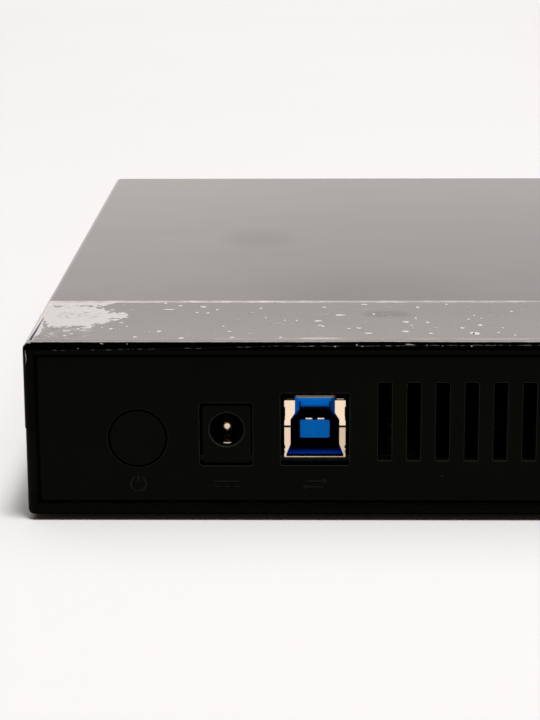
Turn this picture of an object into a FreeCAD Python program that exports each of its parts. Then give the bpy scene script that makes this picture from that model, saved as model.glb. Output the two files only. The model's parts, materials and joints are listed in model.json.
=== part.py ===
import FreeCAD, Part
import math
import os

# External hard drive enclosure, sizes in millimetres.
# X runs across the case, Y from the socket end (low) to the lamp end (high), Z up.
# The origin is on the surface that the feet stand on, under the middle of the case.

os.makedirs("parts", exist_ok=True)

# Standard 3.5 inch drive that the case is built round
drive_width = 101.6
drive_length = 147.0
drive_height = 26.1

# Case walls, and the room that they leave round the drive
wall = 2.25
floor_thickness = 2.2
roof_thickness = 2.2
foot_stand = 1.2  # the feet hold the shell this far off the surface
drive_lift = 1.5
drive_top_gap = 0.2
foam_thickness = 1.2
side_space = 6.95
front_space = 6.6
parting_rise = 16.8  # from the shell's underside to where the cover meets it
parting_step = 0.12  # the base's outline is this much smaller than the cover's
parting_line = 0.15  # small rebate that shows as the line between the two
corner_radius = 1.6
top_edge_radius = 1.4
bottom_side_radius = 1.2
bottom_end_radius = 0.3

# Lip of the base that stands up inside the cover's wall
lip_thickness = 1.0
lip_height = 1.2
lip_clearance = 0.15
lip_end_gap = 4.0

# Rim round each end, and the end panels that sit in grooves of both shells
rim_step = 0.25
rim_step_depth = 0.4
panel_inset = 0.5
panel_plate = 1.2
panel_flange = 1.2
panel_gap = 0.55
groove_depth = 0.95
groove_side_clearance = 0.1
groove_end_clearance = 0.2
panel_corner_radius = 0.8
opening_edge_radius = 0.12

# Screws from below that hold the cover
cover_boss_wall_gap = 3.15  # from the wall's inner face to the boss's axis
cover_boss_panel_gap = 7.1  # from the panel's back to the boss's axis
cover_boss_radius = 3.4
cover_boss_gap = 0.1
cover_screw_radius = 1.5
cover_screw_length = 14.0
cover_screw_rise = 8.8  # from the shell's underside to the seat of the head
cover_pilot_spare = 1.0
screw_hole_clearance = 0.15
pilot_clearance = 0.05
cover_head_radius = 2.5
cover_head_height = 1.9
cover_head_clearance = 0.15
cover_recess_stroke = 0.7

# Rubber feet
foot_radius = 5.0
foot_recess = 0.6
foot_clearance = 0.1
foot_edge_radius = 0.4
foot_inset_x = 14.0
foot_inset_y = 18.0

# Seats, guides and pads for the drive
drive_side_gap = 0.3
drive_hole_edge = 3.175  # from the drive's side to the row of holes
drive_hole_spacing_y = 44.45
drive_hole_setback = 41.28
drive_hole_radius = 1.85
drive_seat_radius = 3.0
drive_guide_height = 9.0
drive_guide_thickness = 1.6
drive_guide_count = 3
drive_guide_first = 16.0
drive_guide_pitch = 52.0
drive_pad_size = 12.0
drive_pad_inset_x = 20.0
drive_pad_inset_y = 12.0
foam_width = 14.0
foam_length = 100.0
foam_spacing = 60.0
stop_rib_thickness = 1.5
stop_rib_drop = 20.0
stop_rib_inset_left = 20.8
stop_rib_inset_right = 5.8

# Circuit board behind the socket panel
board_wall_gap = 7.75
board_width = 64.0
board_panel_gap = 1.1
board_depth = 30.0
board_thickness = 1.6
board_rise = 8.4  # from the case's floor to the board's top
board_corner_radius = 1.0
board_hole_inset_x = 3.5
board_hole_rows = (6.0, 20.0)
board_hole_radius = 1.5
standoff_radius = 3.0
board_screw_radius = 1.25
board_screw_length = 6.0
board_head_radius = 2.3
board_head_height = 1.6
board_recess_stroke = 0.6
button_notch_margin = 1.0

# Power button and the push switch behind it
button_across = 11.34  # from the board's left edge
button_rise = 4.33  # from the board's top
button_hole_radius = 5.7
button_gap = 0.4
button_proud = 0.2
button_edge_radius = 0.3
button_travel = 1.5
button_flange_reach = 0.7
button_flange_thickness = 0.8
button_flange_gap = 0.1
button_stem_radius = 2.6
button_stem_length = 5.0
plunger_size = 3.0
plunger_clearance = 0.1
plunger_grip = 2.2
switch_width = 8.0
switch_height = 8.4
switch_depth = 11.0
switch_stem_gap = 2.5
switch_hole_margin = 1.0
switch_edge_radius = 0.4
plunger_in_switch = 4.5

# Power socket
dc_across = 28.15
dc_collar_width = 9.1
dc_collar_height = 11.1
dc_collar_drop = 0.49
dc_collar_depth = 2.6
dc_cutout_margin_x = 0.46
dc_cutout_offset = 0.12  # the socket sits right of the cutout's middle
dc_cutout_margin_z = 0.56
dc_corner_radius = 0.6
dc_face_inset = 0.2
dc_body_width = 8.6
dc_body_depth = 11.4
dc_body_step = 0.3
dc_hole_rise = 5.95
dc_hole_radius = 3.25
dc_hole_depth = 9.5
dc_hole_lip = 0.2
dc_pin_radius = 1.0
dc_pin_inset = 2.2
dc_pin_tip_radius = 0.8
dc_spring_width = 1.5
dc_spring_thickness = 0.3
dc_spring_inset = 2.6
dc_spring_rise = 0.7
dc_spring_crest = 2.8  # from the leaf's rolled end to the middle of its crest
dc_spring_crest_half = 0.6
dc_spring_roll = 0.35
dc_spring_roll_drop = 0.15
dc_spring_clearance = 0.1

# Data socket: metal shell, blue insulator, contacts
usb_across = 44.79
usb_width = 12.0
usb_height = 12.5
usb_depth = 18.3
usb_face_inset = 1.5
usb_sheet = 0.3
usb_cutout_margin_x = 0.5
usb_cutout_margin_low = 0.98
usb_cutout_margin_high = 0.58
usb_corner_radius = 0.35
usb_hump_half = 3.78
usb_hump_top = 11.95
usb_hump_foot = 8.9
usb_shoulder_half = 4.62
usb_shoulder_top = 7.6
usb_flare_top = 2.8
usb_flare_half = 5.4
usb_flare_foot = 0.8
usb_mouth_bottom = 0.36
usb_lead_in = 1.3
usb_lead_in_depth = 1.6
usb_lead_in_side = 0.8
usb_lead_in_floor = 0.65
usb_lip_rise = 0.27  # of the insulator's lip above the mouth's lower edge
usb_lip_thickness = 0.08
usb_lip_hollow = 1.5  # depth of the gap under the lip
usb_cavity_depth = 10.5
usb_back_wall = 3.0
usb_tongue_width = 5.6
usb_tongue_low = 3.3
usb_tongue_high = 6.83
usb_tongue_inset = 2.5
usb_bar_width = 5.44  # of the bar in the hump, over the tongue
usb_bar_low = 9.0
usb_bar_radius = 1.0
usb_contact_width = 1.26
usb_contact_spacing = 2.29
usb_contact_thickness = 0.3
usb_fast_contact_width = 0.6
usb_fast_contact_pitch = 1.1
usb_fast_contact_count = 5
usb_fast_contact_inset = 1.3  # behind the bar's front
usb_contact_inset = 0.3
usb_lower_contact_inset = 2.5
usb_insulator_clearance = 0.05
usb_tongue_edge_radius = 0.2
usb_seam = 0.22
usb_bend_radius = 0.3  # round the shell's front
usb_notch_depth = 0.4
usb_notch_length = 3.0
usb_upper_notch = (1.9, 3.8)  # low and high end, above the socket's middle
usb_lower_notch = (-4.3, -3.7)
usb_ear_width = 2.1
usb_ear_height = 1.15
usb_ear_top = 0.18
usb_ear_depth = 3.0  # of the hollow behind each ear

# Vent slots in the socket panel
vent_across = 56.64  # from the board's left edge to the first slot
vent_width = 2.6
vent_pitch = 5.43
vent_rise = 8.35
vent_height = 15.2
vent_count = 8
vent_corner_radius = 0.3

# Sunk marks under the button and the sockets
mark_depth = 0.15
mark_stroke = 0.34
mark_rise = 3.7
mark_size = 3.2
gate_mark_across = 68.8
gate_mark_rise = 5.3
gate_mark_radius = 0.3

# Receptacle that the drive plugs into
sata_across = 30.12  # from the drive's side
sata_rise = 3.5  # from the drive's underside
sata_half_width = 19.5
sata_height = 5.8
sata_depth = 8.5
sata_drive_gap = 0.5
sata_board_gap = 0.5
sata_foot_half = 17.0
sata_foot_depth = 6.0
sata_slot_height = 2.4
sata_slot_depth = 6.5
sata_key_height = 1.1
sata_key_width = 1.2
sata_signal_count = 7
sata_power_count = 15
sata_pitch = 1.27
sata_slot_end = 1.4
sata_slot_wall = 2.4
sata_contact_width = 0.7
sata_contact_thickness = 0.2
sata_tail_length = 2.5
sata_foot_step = 0.3
sata_edge_radius = 0.6
sata_contact_inset = 0.8

# Small parts on the board, placed from its front left corner (across, back)
bridge_place = (42.0, 7.5)
bridge_size = 8.0
bridge_thickness = 1.0
bridge_lead_count = 12
bridge_lead_margin = 0.75  # from the chip's corner to its first lead
lead_foot_width = 0.3
lead_foot_thickness = 0.15
lead_foot_length = 1.0
flash_place = (54.5, 7.0)
flash_size = (4.9, 3.9)
flash_thickness = 1.5
flash_lead_count = 4
flash_lead_margin = 0.5
crystal_place = (33.0, 5.5)
crystal_size = (5.0, 3.2, 1.1)
regulator_place = (34.6, 14.0)
regulator_size = (3.5, 6.5, 1.6)
inductor_place = (26.8, 9.0)
inductor_size = 6.0
inductor_height = 3.0
can_places = ((19.1, 5.5), (19.1, 13.5))
can_radius = 3.15
can_height = 5.4
can_base_height = 0.8
can_base_margin = 0.15
can_edge_radius = 0.4
chip_cap_places = (
    (36.2, 9.0), (36.5, 1.8), (40.0, 1.8), (44.0, 1.8),
    (48.0, 1.8), (51.0, 12.0), (54.0, 12.0), (56.8, 12.6),
)
chip_cap_size = (1.0, 2.0, 0.9)

# Status lamp at the far end, and the two-wire lead that feeds it
lamp_across = 7.7  # from the board's left edge
lamp_rise = 13.6  # from the case's floor
lamp_radius = 1.5
lamp_length = 3.0
lamp_flange_radius = 1.8
lamp_flange_thickness = 0.8
lens_radius = 1.7
lens_clearance = 0.05
lens_flange_radius = 2.6
lens_flange_thickness = 0.6
lens_edge_radius = 0.2
lamp_lens_gap = 0.3
lamp_board_size = 11.0
lamp_board_thickness = 1.0
lamp_post_radius = 1.1
lamp_post_offset = 3.9
wire_radius = 0.5
wire_pitch = 1.4
wire_bend = 2.2
wire_floor_gap = 0.05
wire_board_gap = 0.05
header_width = 6.0
header_depth = 5.5
header_height = 4.2
header_wall = 0.8
header_edge_gap = 0.4
plug_length = 6.0
plug_grip = 3.0
plug_clearance = 0.1
plug_bend_run = 0.6
wire_lamp_rise = 11.1
solder_size = 0.9
clip_height = 1.1
clip_thickness = 0.6
clip_length = 8.0
clip_places = (16.5, 61.5, 106.5, 136.5)
clip_clearance = 0.15

# Clear tape left over the cover's socket end
tape_thickness = 0.08
tape_length = 37.3
tape_side_margin = 0.8
tape_wrap = 0.12  # how far it follows the rounded edge down

# Values worked out from the sizes above
panel_thickness = panel_plate + panel_flange
width = drive_width + 2 * (side_space + wall)
rear_space = board_panel_gap + board_depth + sata_board_gap + sata_depth + sata_drive_gap
length = drive_length + rear_space + front_space + 2 * (panel_inset + panel_thickness)
floor_top = foot_stand + floor_thickness
drive_bottom = floor_top + drive_lift
roof_under = drive_bottom + drive_height + drive_top_gap + foam_thickness
height = roof_under + roof_thickness
parting_height = foot_stand + parting_rise
half_width = width / 2
half_length = length / 2
inner_half = half_width - wall
rear_face = -half_length + panel_inset
rear_back = rear_face + panel_thickness
front_back = half_length - panel_inset - panel_thickness
plate_half = inner_half - panel_gap
flange_half = inner_half + groove_depth - groove_end_clearance
plate_low = floor_top + panel_gap
plate_high = roof_under - panel_gap
flange_low = floor_top - groove_depth + groove_end_clearance
flange_high = roof_under + groove_depth - groove_end_clearance
board_left = -inner_half + board_wall_gap
board_right = board_left + board_width
board_rear = rear_back + board_panel_gap
board_front = board_rear + board_depth
board_top = floor_top + board_rise
board_under = board_top - board_thickness
sata_rear = board_front + sata_board_gap
sata_front = sata_rear + sata_depth
drive_rear = sata_front + sata_drive_gap
drive_front = drive_rear + drive_length
drive_half = drive_width / 2
drive_hole_x = drive_half - drive_hole_edge
button_x = board_left + button_across
button_z = board_top + button_rise
dc_x = board_left + dc_across
dc_collar_bottom = board_top - dc_collar_drop
dc_hole_z = board_top + dc_hole_rise
usb_x = board_left + usb_across
vent_left = board_left + vent_across
vent_low = floor_top + vent_rise
mark_z = floor_top + mark_rise
sata_x = -drive_half + sata_across
sata_z = drive_bottom + sata_rise
lamp_x = board_left + lamp_across
lamp_z = floor_top + lamp_rise
cover_boss_x = inner_half - cover_boss_wall_gap
cover_boss_y = front_back - cover_boss_panel_gap
cover_screw_seat = foot_stand + cover_screw_rise
usb_face = rear_face + usb_face_inset
dc_face = rear_face + dc_face_inset
button_radius = button_hole_radius - button_gap
button_face = rear_face - button_proud
button_back = rear_back + button_flange_gap + button_flange_thickness
stem_end = button_back + button_stem_length
switch_front = stem_end + switch_stem_gap
wire_xs = (lamp_x - wire_pitch / 2, lamp_x + wire_pitch / 2)
header_front = board_front - header_edge_gap
header_rear = header_front - header_depth
plug_rear = header_front - plug_grip
plug_front = plug_rear + plug_length
lamp_board_front = front_back - lens_flange_thickness - lamp_lens_gap - lamp_length
lamp_board_back = lamp_board_front - lamp_board_thickness
wire_end_z = floor_top + wire_lamp_rise
wire_rise_y = lamp_board_back - wire_radius - wire_board_gap


def box(x0, x1, y0, y1, z0, z1):
    return Part.makeBox(x1 - x0, y1 - y0, z1 - z0, FreeCAD.Vector(x0, y0, z0))


def rod_z(x, y, z0, z1, radius):
    return Part.makeCylinder(radius, z1 - z0, FreeCAD.Vector(x, y, z0), FreeCAD.Vector(0, 0, 1))


def rod_y(x, z, y0, y1, radius):
    return Part.makeCylinder(radius, y1 - y0, FreeCAD.Vector(x, y0, z), FreeCAD.Vector(0, 1, 0))


def edges_along(shape, axis):
    # Straight edges that run along one axis: 0 for X, 1 for Y, 2 for Z
    found = []
    for edge in shape.Edges:
        ends = [vertex.Point for vertex in edge.Vertexes]
        if len(ends) != 2:
            continue
        step = ends[1] - ends[0]
        if step.Length - abs(step[axis]) < 1e-6:
            found.append(edge)
    return found


def edges_at_z(shape, level):
    found = []
    for edge in shape.Edges:
        if abs(edge.BoundBox.ZMin - level) < 1e-6 and abs(edge.BoundBox.ZMax - level) < 1e-6:
            found.append(edge)
    return found


def rounded_box(x0, x1, y0, y1, z0, z1, radius, axis):
    solid = box(x0, x1, y0, y1, z0, z1)
    return solid.makeFillet(radius, edges_along(solid, axis))


def prism_y(points, y0, y1):
    # A closed outline of (x, z) points, run along Y
    corners = [FreeCAD.Vector(x, y0, z) for x, z in points]
    face = Part.Face(Part.makePolygon(corners + corners[:1]))
    return face.extrude(FreeCAD.Vector(0, y1 - y0, 0))


def prism_x(points, x0, x1):
    # A closed outline of (y, z) points, run along X
    corners = [FreeCAD.Vector(x0, y, z) for y, z in points]
    face = Part.Face(Part.makePolygon(corners + corners[:1]))
    return face.extrude(FreeCAD.Vector(x1 - x0, 0, 0))


def cut_all(solid, tools):
    return solid.cut(Part.makeCompound(tools))


def fuse_all(solid, extras):
    return solid.multiFuse(extras).removeSplitter()


def save(name, *solids):
    shape = solids[0] if len(solids) == 1 else Part.makeCompound(list(solids))
    shape.exportStep("parts/" + name + ".step")


def cross_recess(x, y, z0, z1, reach, stroke):
    # Driver cross cut into a screw head
    bar = box(x - reach, x + reach, y - stroke / 2, y + stroke / 2, z0, z1)
    other = box(x - stroke / 2, x + stroke / 2, y - reach, y + reach, z0, z1)
    return bar.fuse(other)


def corners_of(x, y):
    return [(side * x, end * y) for side in (-1, 1) for end in (-1, 1)]


# Places of repeated features
cover_boss_places = corners_of(cover_boss_x, cover_boss_y)
foot_places = corners_of(half_width - foot_inset_x, half_length - foot_inset_y)
drive_hole_y = drive_rear + drive_hole_setback
drive_hole_ys = (drive_hole_y, drive_hole_y + drive_hole_spacing_y)
drive_hole_places = [(side * drive_hole_x, y) for side in (-1, 1) for y in drive_hole_ys]
board_hole_places = [
    (x, board_rear + row)
    for x in (board_left + board_hole_inset_x, board_right - board_hole_inset_x)
    for row in board_hole_rows
]


def case_block(inset, z0, z1):
    half_x = half_width - inset
    half_y = half_length - inset
    return rounded_box(-half_x, half_x, -half_y, half_y, z0, z1, corner_radius, 2)


def cover_block(offset):
    # Outer form of the closed cover, grown by offset
    block = rounded_box(
        -half_width - offset,
        half_width + offset,
        -half_length - offset,
        half_length + offset,
        parting_height,
        height + offset,
        corner_radius + offset,
        2,
    )
    return block.makeFillet(top_edge_radius + offset, edges_at_z(block, height + offset))


def end_cuts():
    # Panel grooves and the small step inside each rim, for both shells
    cuts = []
    groove_half = inner_half + groove_depth
    step_half = inner_half + rim_step
    for end in (-1, 1):
        near = end * (half_length - panel_inset - panel_plate + groove_side_clearance)
        far = end * (half_length - panel_inset - panel_thickness - groove_side_clearance)
        cuts.append(
            box(
                -groove_half, groove_half, min(near, far), max(near, far),
                floor_top - groove_depth, roof_under + groove_depth,
            )
        )
        outside = end * (half_length + 1)
        step = end * (half_length - rim_step_depth)
        cuts.append(
            box(
                -step_half, step_half, min(outside, step), max(outside, step),
                floor_top - rim_step, roof_under + rim_step,
            )
        )
    return cuts


def make_bottom_shell():
    block = case_block(parting_step, foot_stand, parting_height)
    side = half_width - parting_step
    sides = rounded_box(
        -side, side, -half_length - 1, half_length + 1, foot_stand, 2 * height, bottom_side_radius, 1,
    )
    shell = block.makeFillet(bottom_end_radius, edges_at_z(block, foot_stand)).common(sides)
    shell = shell.cut(box(-inner_half, inner_half, -half_length, half_length, floor_top, height))
    outside = case_block(-1, parting_height - parting_line, parting_height)
    shell = shell.cut(outside.cut(case_block(parting_step + parting_line, foot_stand, height)))
    lip_reach = half_length - lip_end_gap
    extras = []
    for side in (-1, 1):
        near = side * inner_half
        far = side * (inner_half + lip_thickness)
        extras.append(
            box(
                min(near, far), max(near, far), -lip_reach, lip_reach,
                parting_height - lip_height, parting_height + lip_height,
            )
        )
        guide_wall = side * (inner_half + wall / 2)
        guide_face = side * (drive_half + drive_side_gap)
        for number in range(drive_guide_count):
            y = drive_rear + drive_guide_first + number * drive_guide_pitch
            extras.append(
                box(
                    min(guide_wall, guide_face), max(guide_wall, guide_face),
                    y - drive_guide_thickness / 2, y + drive_guide_thickness / 2,
                    floor_top - floor_thickness / 2, drive_bottom + drive_guide_height,
                )
            )
    for x, y in cover_boss_places:
        foot = floor_top - floor_thickness / 2
        extras.append(rod_z(x, y, foot, parting_height - cover_boss_gap, cover_boss_radius))
    for x, y in drive_hole_places:
        extras.append(rod_z(x, y, floor_top - floor_thickness / 2, drive_bottom, drive_seat_radius))
    for x, y in board_hole_places:
        extras.append(rod_z(x, y, floor_top - floor_thickness / 2, board_under, standoff_radius))
    clip_inner = wire_pitch / 2 + wire_radius + clip_clearance
    for place in clip_places:
        for side in (-1, 1):
            x = lamp_x + side * (clip_inner + clip_thickness / 2)
            extras.append(
                box(
                    x - clip_thickness / 2, x + clip_thickness / 2,
                    drive_rear + place - clip_length / 2, drive_rear + place + clip_length / 2,
                    floor_top - floor_thickness / 2, floor_top + clip_height,
                )
            )
    shell = fuse_all(shell, extras)
    cuts = end_cuts()
    head_hole = cover_head_radius + cover_head_clearance
    for x, y in cover_boss_places:
        cuts.append(rod_z(x, y, 0, cover_screw_seat, head_hole))
        cuts.append(rod_z(x, y, 0, parting_height, cover_screw_radius + screw_hole_clearance))
    for x, y in foot_places:
        cuts.append(rod_z(x, y, 0, foot_stand + foot_recess, foot_radius + foot_clearance))
    for x, y in drive_hole_places:
        cuts.append(rod_z(x, y, 0, parting_height, drive_hole_radius))
    pilot_low = board_top - board_screw_length
    for x, y in board_hole_places:
        cuts.append(rod_z(x, y, pilot_low, board_top, board_screw_radius + pilot_clearance))
    return cut_all(shell, cuts)


def make_top_cover():
    cover = cover_block(0)
    cover = cover.cut(box(-inner_half, inner_half, -half_length, half_length, 0, roof_under))
    extras = []
    for x, y in cover_boss_places:
        foot = parting_height + cover_boss_gap
        extras.append(rod_z(x, y, foot, height - roof_thickness / 2, cover_boss_radius))
    rib_rear = drive_front + drive_side_gap
    extras.append(
        box(
            -drive_half + stop_rib_inset_left, drive_half - stop_rib_inset_right,
            rib_rear, rib_rear + stop_rib_thickness,
            roof_under - stop_rib_drop, height - roof_thickness / 2,
        )
    )
    cover = fuse_all(cover, extras)
    cuts = end_cuts()
    rebate_reach = half_length - lip_end_gap + lip_clearance
    for side in (-1, 1):
        near = side * (inner_half - 1)
        far = side * (inner_half + lip_thickness + lip_clearance)
        cuts.append(
            box(
                min(near, far), max(near, far), -rebate_reach, rebate_reach,
                0, parting_height + lip_height + lip_clearance,
            )
        )
    pilot_top = cover_screw_seat + cover_screw_length + cover_pilot_spare
    for x, y in cover_boss_places:
        cuts.append(rod_z(x, y, 0, pilot_top, cover_screw_radius + pilot_clearance))
    return cut_all(cover, cuts)


def make_panel_blank(end):
    # Plate that shows inside the rim, with the flange that sits in the grooves
    face = end * (half_length - panel_inset)
    middle = end * (half_length - panel_inset - panel_plate)
    back = end * (half_length - panel_inset - panel_thickness)
    y0 = min(face, back)
    y1 = max(face, back)
    plate = rounded_box(
        -plate_half, plate_half, y0, y1, plate_low, plate_high, panel_corner_radius, 1
    )
    flange = box(
        -flange_half, flange_half, min(middle, back), max(middle, back), flange_low, flange_high
    )
    return plate.fuse(flange).removeSplitter()


def soften_openings(panel, face, low, high):
    # Small rounding of the openings' outer edges, which lie in the panel's face
    chosen = []
    for edge in panel.Edges:
        bounds = edge.BoundBox
        in_face = abs(bounds.YMin - face) < 1e-6 and abs(bounds.YMax - face) < 1e-6
        inside = bounds.ZMin > low + 1 and bounds.ZMax < high - 1 and abs(bounds.XMin) < plate_half - 1
        if in_face and inside:
            chosen.append(edge)
    return panel.makeFillet(opening_edge_radius, chosen)


def power_mark(x, z):
    # Ring with a bar at its top
    y0 = rear_face - 1
    y1 = rear_face + mark_depth
    radius = mark_size / 2 - mark_stroke / 2
    ring = rod_y(x, z, y0, y1, radius + mark_stroke / 2)
    ring = ring.cut(rod_y(x, z, y0, y1, radius - mark_stroke / 2))
    gap = box(x - mark_stroke * 1.5, x + mark_stroke * 1.5, y0, y1, z, z + mark_size)
    left = x - mark_stroke / 2
    bar = box(left, left + mark_stroke, y0, y1, z + mark_size * 0.1, z + mark_size * 0.6)
    return [ring.cut(gap), bar]


def dc_mark(x, z):
    # Solid line over a broken line
    y0 = rear_face - 1
    y1 = rear_face + mark_depth
    half = mark_size * 0.75
    cuts = [box(x - half, x + half, y0, y1, z + mark_stroke, z + mark_stroke * 2)]
    dash = half * 2 / 5
    for number in range(3):
        start = x - half + number * 2 * dash
        cuts.append(box(start, start + dash, y0, y1, z - mark_stroke * 2, z - mark_stroke))
    return cuts


def data_mark(x, z):
    # Two arrows that point opposite ways
    y0 = rear_face - 1
    y1 = rear_face + mark_depth
    half = mark_size * 0.75
    head = mark_stroke * 1.7
    cuts = []
    for way in (-1, 1):
        level = z + way * mark_stroke * 1.7
        bottom = level - mark_stroke / 2
        cuts.append(box(x - half + head, x + half - head, y0, y1, bottom, bottom + mark_stroke))
        tip = x + way * half
        back = x + way * (half - head * 1.4)
        cuts.append(prism_y([(tip, level), (back, level + head), (back, level - head)], y0, y1))
    return cuts


def make_rear_panel():
    panel = make_panel_blank(-1)
    y0 = rear_face - 1
    y1 = rear_back + 1
    cuts = [rod_y(button_x, button_z, y0, y1, button_hole_radius)]
    dc_half = dc_collar_width / 2 + dc_cutout_margin_x
    dc_low = dc_collar_bottom - dc_cutout_margin_z
    dc_high = dc_collar_bottom + dc_collar_height + dc_cutout_margin_z
    dc_left = dc_x - dc_cutout_offset - dc_half
    dc_right = dc_x - dc_cutout_offset + dc_half
    cuts.append(rounded_box(dc_left, dc_right, y0, y1, dc_low, dc_high, dc_corner_radius, 1))
    usb_half = usb_width / 2 + usb_cutout_margin_x
    usb_low = board_top - usb_cutout_margin_low
    usb_high = board_top + usb_height + usb_cutout_margin_high
    usb_left = usb_x - usb_half
    usb_right = usb_x + usb_half
    cuts.append(
        rounded_box(usb_left, usb_right, y0, y1, usb_low, usb_high, usb_corner_radius, 1)
    )
    for number in range(vent_count):
        x = vent_left + number * vent_pitch
        vent_high = vent_low + vent_height
        cuts.append(
            rounded_box(x, x + vent_width, y0, y1, vent_low, vent_high, vent_corner_radius, 1)
        )
    panel = cut_all(panel, cuts)
    panel = soften_openings(panel, rear_face, plate_low, plate_high)
    marks = power_mark(button_x, mark_z) + dc_mark(dc_x, mark_z) + data_mark(usb_x, mark_z)
    gate_x = board_left + gate_mark_across
    gate_z = floor_top + gate_mark_rise
    marks.append(rod_y(gate_x, gate_z, y0, rear_face + mark_depth, gate_mark_radius))
    return cut_all(panel, marks)


def make_front_panel():
    # Lamp window and the two posts that carry the lamp's board
    panel = make_panel_blank(1)
    posts = []
    for side in (-1, 1):
        x = lamp_x + side * lamp_post_offset
        post_end = front_back + panel_flange / 2
        posts.append(rod_y(x, lamp_z, lamp_board_front, post_end, lamp_post_radius))
    panel = panel.multiFuse(posts)
    return panel.cut(rod_y(lamp_x, lamp_z, lamp_board_front, half_length, lens_radius + lens_clearance))


def make_feet():
    feet = []
    for x, y in foot_places:
        foot = rod_z(x, y, 0, foot_stand + foot_recess, foot_radius)
        feet.append(foot.makeFillet(foot_edge_radius, edges_at_z(foot, 0)))
    return feet


def make_cover_screws():
    screws = []
    head_low = cover_screw_seat - cover_head_height
    for x, y in cover_boss_places:
        head = rod_z(x, y, head_low, cover_screw_seat, cover_head_radius)
        head = head.makeFillet(cover_head_height / 3, edges_at_z(head, head_low))
        shank = rod_z(x, y, cover_screw_seat, cover_screw_seat + cover_screw_length, cover_screw_radius)
        shank = shank.makeChamfer(
            cover_screw_radius / 2, edges_at_z(shank, cover_screw_seat + cover_screw_length)
        )
        recess_end = head_low + cover_head_height * 0.6
        recess = cross_recess(x, y, 0, recess_end, cover_head_radius * 0.6, cover_recess_stroke)
        screws.append(head.fuse(shank).cut(recess).removeSplitter())
    return screws


def make_board():
    board = rounded_box(
        board_left, board_right, board_rear, board_front, board_under, board_top, board_corner_radius, 2
    )
    cuts = [rod_z(x, y, 0, height, board_hole_radius) for x, y in board_hole_places]
    notch_half = button_radius + button_flange_reach + button_notch_margin
    notch_end = button_back + button_travel + button_notch_margin
    cuts.append(box(button_x - notch_half, button_x + notch_half, rear_back, notch_end, 0, height))
    return cut_all(board, cuts)


def make_board_screws():
    screws = []
    head_top = board_top + board_head_height
    for x, y in board_hole_places:
        head = rod_z(x, y, board_top, head_top, board_head_radius)
        head = head.makeFillet(board_head_height / 2, edges_at_z(head, head_top))
        shank = rod_z(x, y, board_top - board_screw_length, board_top, board_screw_radius)
        recess_low = board_top + board_head_height * 0.4
        recess = cross_recess(x, y, recess_low, height, board_head_radius * 0.6, board_recess_stroke)
        screws.append(head.fuse(shank).cut(recess).removeSplitter())
    return screws


def mouth_outline(shrink, roof_drop, floor_rise):
    # Outline of the data socket's mouth: a hump over a wider part with sloping shoulders
    half = [
        (usb_hump_half - shrink, usb_hump_top - roof_drop),
        (usb_hump_half - shrink, usb_hump_foot - shrink / 2),
        (usb_shoulder_half, usb_shoulder_top - shrink / 2),
        (usb_shoulder_half, usb_flare_top),
        (usb_flare_half - shrink, usb_flare_foot + floor_rise),
        (usb_flare_half - shrink, usb_mouth_bottom + floor_rise),
    ]
    right = [(usb_x + x, board_top + z) for x, z in half]
    left = [(usb_x - x, board_top + z) for x, z in reversed(half)]
    return right + left


def make_usb_shell():
    x0 = usb_x - usb_width / 2
    x1 = usb_x + usb_width / 2
    top = board_top + usb_height
    shell = rounded_box(x0, x1, usb_face, usb_face + usb_depth, board_top, top, usb_corner_radius, 1)
    bent = [edge for edge in shell.Edges if edge.BoundBox.YMax < usb_face + 0.01]
    shell = shell.makeFillet(usb_bend_radius, bent)
    inside = box(
        x0 + usb_sheet, x1 - usb_sheet, usb_face + usb_sheet, usb_face + usb_depth + 1,
        board_top + usb_sheet, top - usb_sheet,
    )
    sheet_end = usb_face + usb_sheet
    cuts = [inside, prism_y(mouth_outline(0, 0, 0), usb_face - 1, sheet_end)]
    middle = board_top + usb_height / 2
    for side in (-1, 1):
        edge = usb_x + side * usb_width / 2
        mouth = usb_x + side * usb_shoulder_half
        low, high = min(edge, mouth), max(edge, mouth)
        bottom = middle - usb_seam / 2
        cuts.append(box(low, high, usb_face - 1, sheet_end, bottom, bottom + usb_seam))
        notch = edge - side * usb_notch_depth
        low, high = min(edge, notch), max(edge, notch)
        for bottom, top_end in (usb_upper_notch, usb_lower_notch):
            notch_end = usb_face + usb_notch_length
            cuts.append(box(low, high, usb_face - 1, notch_end, middle + bottom, middle + top_end))
        ear = edge - side * usb_ear_width
        ear_edge = edge - side * usb_sheet
        low, high = min(ear, ear_edge), max(ear, ear_edge)
        cuts.append(box(low, high, usb_face - 1, sheet_end, top - usb_ear_height, top - usb_ear_top))
    return cut_all(shell, cuts)


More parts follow.
